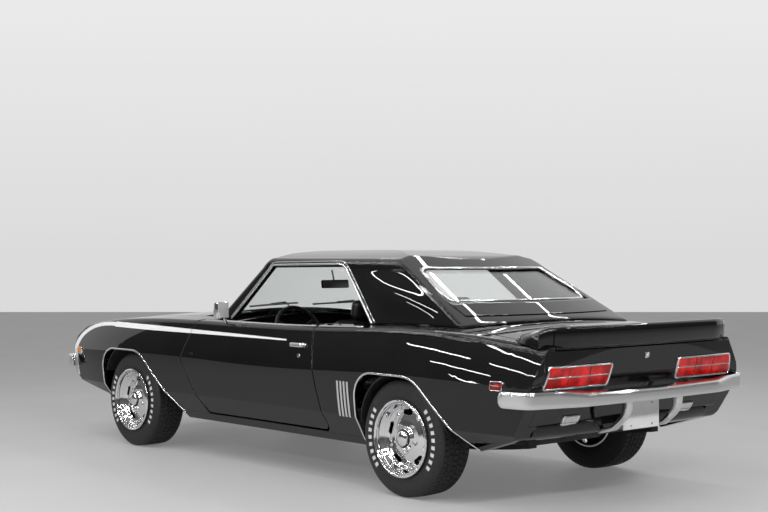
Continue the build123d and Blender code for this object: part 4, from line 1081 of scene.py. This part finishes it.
def add_door_card(side, sign):
    """A padded trim panel, an armrest, a crank and a pull on the inside of a door."""
    body = "door_" + side
    low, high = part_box(body)
    face = low.y if sign > 0 else high.y
    inward = Vector((0, -sign, 0))
    for name, rear_x, front_x, near, far, low_z, high_z, radius, material in DOOR_BOXES:
        low_y, high_y = sorted((face - sign * near, face - sign * far))
        corners = ((rear_x, low_y, low_z), (front_x, high_y, high_z))
        rounded_box(f"{name}_{side}", *corners, radius, material, body)
    hub = Vector((CRANK_X, face, CRANK_Z))
    knob = Vector((KNOB_X, face, KNOB_Z))
    disc("crank_hub_" + side, hub + inward * 0.006, inward, 0.02, 0.018, CHROME, body, 28)
    arm = [hub + inward * 0.02, knob + inward * 0.026 + Vector((0.002, 0, 0))]
    tube("crank_arm_" + side, arm, 0.006, CHROME, body)
    disc("crank_knob_" + side, knob + inward * 0.024, inward, 0.012, 0.024, SATIN, body, 24)


# Dashboard, mirrors, steering wheel and wipers.

CABIN_X = -0.5
DASH_AXIS = (-0.954, 0.0, 0.298)
DIALS = [
    # name, y, z, radius
    ("speed", 0.49, 0.745, 0.056),
    ("engine", 0.28, 0.745, 0.056),
    ("clock", 0.385, 0.7, 0.028),
]
POD_ROWS = [
    # distance past the dial's radius, distance out
    (-0.006, 0.004), (-0.004, 0.02), (0.0, 0.022), (0.006, 0.016), (0.009, -0.012), (-0.006, -0.012),
]
TICKS = 11
TICK_FIRST_DEG = -130
TICK_STEP_DEG = 26
RADIO_KNOB_Y = 0.078
RADIO_KNOB_Z = 0.722
SHIFT_LEVER = [(0.12, 0.0, 0.45), (0.1, 0.0, 0.56), (0.06, 0.0, 0.64)]
SHIFT_KNOB = (0.06, 0.0, 0.63)


def add_dial(name, place, radius):
    """A dial in a bright pod, with marks and a needle."""
    axis = Vector(DASH_AXIS).normalized()
    left = Vector((0, 1, 0))
    up = axis.cross(left).normalized()
    pod = [(radius + u, v) for u, v in POD_ROWS]
    turned("dial_pod_" + name, pod, place, axis, CHROME, "body", 48)
    disc("dial_face_" + name, place, axis, radius - 0.004, 0.005, DIAL)
    base = place + axis * 0.0058
    for tick in range(TICKS):
        turn = radians(TICK_FIRST_DEG + TICK_STEP_DEG * tick)
        ray = (up * cos(turn) + left * sin(turn)) * radius
        mark = [base + ray * 0.7, base + ray * 0.86]
        tube(f"dial_mark_{name}_{tick}", mark, 0.001, PLATE_WHITE, sides=6)
    pivot = place + axis * 0.008
    # The needle takes the red lens finish, which glows faintly: painted light, as a needle is no lamp.
    tube("dial_needle_" + name, [pivot, pivot + up * radius * 0.7], 0.0012, RED_LENS, sides=6)


def add_dashboard():
    """Dials, radio knobs and the shift lever."""
    dash = skin("dashboard")
    for name, across, height, radius in DIALS:
        place, _ = on_skin(dash, (CABIN_X, across, height), (1, 0, 0))
        add_dial(name, place, radius)
    for side, sign in SIDES:
        place, _ = on_skin(dash, (CABIN_X, sign * RADIO_KNOB_Y, RADIO_KNOB_Z), (1, 0, 0))
        place += Vector(DASH_AXIS) * 0.012
        disc("radio_knob_" + side, place, DASH_AXIS, 0.013, 0.018, CHROME, steps=24)
    tube("shift_lever", SHIFT_LEVER, 0.008, CHROME)
    disc("shift_knob", SHIFT_KNOB, (-0.4, 0.0, 0.9), 0.022, 0.036, SATIN, steps=32)


MIRROR_HALF = 0.046
MIRROR_LOW_Z = 0.915
MIRROR_TOP_Z = 1.022
MIRROR_BACK = 0.048
MIRROR_RIM = 0.006
MIRROR_IN = 0.047
STALK_ROWS = [
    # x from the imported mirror's rear, y from the head's middle, z
    (0.044, -0.065, 0.872), (0.036, -0.04, 0.905), (0.03, -0.02, 0.94),
]
INNER_STEM = [(0.345, 0.0, 1.215), (0.32, 0.0, 1.135)]


def add_mirrors():
    """The outside mirror's head, glass and stalk, and the stem of the inside mirror."""
    low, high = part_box("mirror")
    head_y = high.y - MIRROR_IN
    head_low = Vector((low.x - 0.004, head_y - MIRROR_HALF, MIRROR_LOW_Z))
    head_high = Vector((low.x + MIRROR_BACK, head_y + MIRROR_HALF, MIRROR_TOP_Z))
    shell = rounded_box("mirror_shell", head_low, head_high, 0.013, CHROME, "door_left")
    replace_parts(shell, "mirror")
    face_low = head_low + Vector((-0.0015, MIRROR_RIM, MIRROR_RIM))
    face_high = Vector((head_low.x + 0.002, head_high.y - MIRROR_RIM, head_high.z - MIRROR_RIM))
    rounded_box("mirror_face", face_low, face_high, 0.0015, MIRROR, "door_left")
    stalk = [(low.x + x, head_y + y, z) for x, y, z in STALK_ROWS]
    tube("mirror_stalk", stalk, 0.009, CHROME, "door_left")
    tube("inner_mirror_stem", INNER_STEM, 0.006, CHROME)


HORN_RING_ROWS = [(0.034, 0.016), (0.036, 0.022), (0.04, 0.02), (0.04, 0.014)]


def add_steering_dressing():
    """A plain horn cap with a bright ring on the steering wheel."""
    joint = JOINTS["steering_wheel_turn"]
    centre = Vector(joint["pos_m"])
    axis = Vector(joint["axis"]).normalized()
    disc("horn_cap", centre + axis * 0.014, axis, 0.034, 0.012, SATIN, "steering_wheel")
    turned("horn_ring", HORN_RING_ROWS, centre, axis, CHROME, "steering_wheel")


WIPER_FOOT_X = 0.69
WIPER_INNER_Z = 0.985
WIPER_OUTER_Z = 0.972
WIPERS_Y = ((0.06, 0.5), (-0.52, -0.08))


def add_wipers():
    """Two parked wiper blades at the foot of the windshield."""
    glass = skin("windshield")
    cowl = skin("cowl_panel")
    for number, (inner_y, outer_y) in enumerate(WIPERS_Y):
        points = straight((2.0, inner_y, WIPER_INNER_Z), (2.0, outer_y, WIPER_OUTER_Z), 14)
        places, outs = laid(glass, points, (-1, 0, 0))
        blade = [p + o * 0.004 for p, o in zip(places, outs)]
        sweep(f"wiper_blade_{number}", blade, outs, half_round(0.008, 0.01, -0.002), SATIN)
        foot, _ = on_skin(cowl, (WIPER_FOOT_X, inner_y, 1.2), (0, 0, -1))
        arm = [blade[7] + outs[7] * 0.01, blade[3] + outs[3] * 0.016, foot + Vector((0, 0, 0.018)), foot]
        tube(f"wiper_arm_{number}", arm, 0.005, SATIN)


# Under the hood.

CLEANER_X = 1.1
CLEANER_ROWS = [
    # radius, height
    (0.0, 0.0), (0.172, 0.0), (0.176, 0.006), (0.176, 0.034), (0.17, 0.04), (0.15, 0.043), (0.03, 0.043),
    (0.0, 0.045),
]
CLEANER_NUT_Z = 0.043
HOSE_ROWS = [(1.41, 0.1, 0.64), (1.6, 0.14, 0.69), (1.85, 0.22, 0.705), (2.015, 0.24, 0.7)]
HOSE_R = 0.021
FAN_HUB = (1.415, 0.0, 0.56)
FAN_MIDDLE = Vector((1.52, 0.0, 0.56))
FAN_BLADES = 5
FAN_RADII = (0.04, 0.12, 0.2)
FAN_WIDTHS = (-0.045, 0.0, 0.045)


def add_engine_dressing():
    """Air cleaner, hoses and fan."""
    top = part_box("engine_block")[1].z
    up = (0, 0, 1)
    turned("air_cleaner", CLEANER_ROWS, (CLEANER_X, 0.0, top), up, CHROME, "body", 72)
    disc("air_cleaner_nut", (CLEANER_X, 0.0, top + CLEANER_NUT_Z), up, 0.012, 0.012, CHROME, steps=16)
    for side, sign in SIDES:
        tube("hose_" + side, [(x, sign * y, z) for x, y, z in HOSE_ROWS], HOSE_R, RUBBER, sides=14)
    disc("fan_hub", FAN_HUB, (1, 0, 0), 0.07, 0.13, STEEL)
    for number in range(FAN_BLADES):
        turn = 2 * pi * number / FAN_BLADES
        ray = Vector((0, cos(turn), sin(turn)))
        slant = Vector((0.5, -0.86 * sin(turn), 0.86 * cos(turn)))
        verts = [FAN_MIDDLE + ray * r + slant * w * (0.6 + r) for r in FAN_RADII for w in FAN_WIDTHS]
        add_piece(f"fan_blade_{number}", verts, grid_faces(3, 3), STEEL)


finish_nodes()
for side, sign in SIDES:
    add_side_mouldings(side, sign)
    add_sail_panel(side, sign)
    add_lamp_trim(side, sign)
    add_headlamp(side, sign)
    add_handle(side, sign)
    add_door_card(side, sign)
for corner in CORNERS:
    add_tyre(corner)
    add_wall_marks(corner)
    add_wheel_dressing(corner)
add_end_mouldings()
add_spoiler()
add_pans()
add_tank_and_exhaust()
add_tulip_panel()
add_tail_fittings()
add_seats()
add_boxes()
add_dashboard()
add_mirrors()
add_steering_dressing()
add_wipers()
add_engine_dressing()


# Stage, light and camera.

CAMERA_PLACE = Vector((-6.791, 5.897, 1.31))
CAMERA_YAW = radians(-41.744)
CAMERA_LOOK = Vector((cos(CAMERA_YAW), sin(CAMERA_YAW), 0.0))
CAMERA_LENS = 64.34
WALL_AWAY = 32.1
WALL_RISE = 6.0
FLOOR_GLOW = 0.16
STRIP_ROWS_Y = (6.6, 5.5, 4.4, 3.3, 2.2, -2.2, -4.4)
STRIP_ROWS_X = (-5.4, -2.7, 0.0, 2.7)
STRIP_Z = 4.4
STRIP_SIZE = (2.2, 0.06)
STRIP_WATTS = 19.0
SOFT_BOXES = [
    # name, place, target, size, watts
    ("rear_box", (-6.5, 1.5, 4.2), (-1.5, 0.0, 0.7), (3.5, 0.16), 190.0),
    ("side_box", (-0.5, 7.5, 3.6), (-0.2, 0.6, 0.6), (7.0, 0.16), 140.0),
]
SKY_LOW = 0.08
SKY_HIGH = 0.26
SKY_HIGH_AT = 0.9


def aimed(name, data, place, look):
    """A camera or a lamp at a place, looking along a direction."""
    thing = bpy.data.objects.new(name, data)
    SCENE.collection.objects.link(thing)
    thing.location = place
    thing.rotation_euler = look.to_track_quat("-Z", "Y").to_euler()
    return thing


def add_camera():
    """The photograph's view: level, from behind the car's left side."""
    data = bpy.data.cameras.new("camera")
    data.lens = CAMERA_LENS
    data.sensor_width = 36.0
    data.clip_end = 200.0
    SCENE.camera = aimed("camera", data, CAMERA_PLACE, CAMERA_LOOK)


def add_area(name, place, target, size, watts):
    """A soft rectangular lamp aimed at a point."""
    data = bpy.data.lights.new(name, "AREA")
    data.shape = "RECTANGLE"
    data.size, data.size_y = size
    data.energy = watts
    aimed(name, data, place, Vector(target) - Vector(place))


def add_flat(name, material, matrix, size):
    """A large flat stage piece."""
    bpy.ops.mesh.primitive_plane_add(size=size)
    flat = bpy.context.object
    flat.name = name
    flat.matrix_world = matrix
    flat.data.materials.append(material)


def seen_directly(shader):
    """One for rays from the camera, off gloss or through glass, so that the glow lights nothing."""
    paths = shader.node("LightPath").outputs
    seen = shader.math("MAXIMUM", paths["Is Camera Ray"], paths["Is Glossy Ray"])
    return shader.math("MAXIMUM", seen, paths["Is Transmission Ray"])


def make_wall():
    """A pale wall that shows as it is painted, with painted light making it lighter higher up, and does not
    light the car.
    """
    shader = new_shader("wall_pale")
    # Painted light: the wall's tone grows lighter from its middle towards its top.
    rise = shader.remap(shader.axes()["Y"], 0.0, WALL_RISE)
    tone = shader.math("MULTIPLY_ADD", shader.noise(0.25), 0.12, rise)
    colour = shader.mix(tone, grey(0.7), grey(0.82))
    shader.set(base_color=grey(0.0), specular_ior_level=0.0)
    shader.set(emission_color=colour, emission_strength=seen_directly(shader))
    return shader.block


def make_floor():
    """A pale satin floor that keeps the car's shadow."""
    shader = new_shader("floor_pale")
    shader.vary_colour(0.315, 0.33, 0.6)
    shader.vary_roughness(0.52, 0.58, 2.0)
    shader.set(specular_ior_level=0.25)
    shader.set(emission_color=grey(FLOOR_GLOW), emission_strength=seen_directly(shader))
    return shader.block


def add_stage():
    """A wide pale floor, a pale wall beyond the car, and lamps above and beside it."""
    add_flat("floor", make_floor(), Matrix.Identity(4), 160.0)
    turn = (-CAMERA_LOOK).to_track_quat("Z", "Y").to_matrix().to_4x4()
    add_flat("wall", make_wall(), Matrix.Translation(CAMERA_PLACE + CAMERA_LOOK * WALL_AWAY) @ turn, 120.0)
    for across in STRIP_ROWS_Y:
        for along in STRIP_ROWS_X:
            name = f"strip_{across:.1f}_{along:.1f}"
            add_area(name, (along, across, STRIP_Z), (along, across, 0.0), STRIP_SIZE, STRIP_WATTS)
    for row in SOFT_BOXES:
        add_area(*row)


def add_world():
    """A plain studio sky: dim at the horizon and paler overhead."""
    SCENE.world = bpy.data.worlds.new("studio")
    shader = Shader(SCENE.world, "Background")
    height = shader.axes("Generated")["Z"]
    shader.set(color=shader.remap(height, 0.0, SKY_HIGH_AT, SKY_LOW, SKY_HIGH))


add_stage()
add_world()
add_camera()
SCENE.view_settings.view_transform = "Standard"
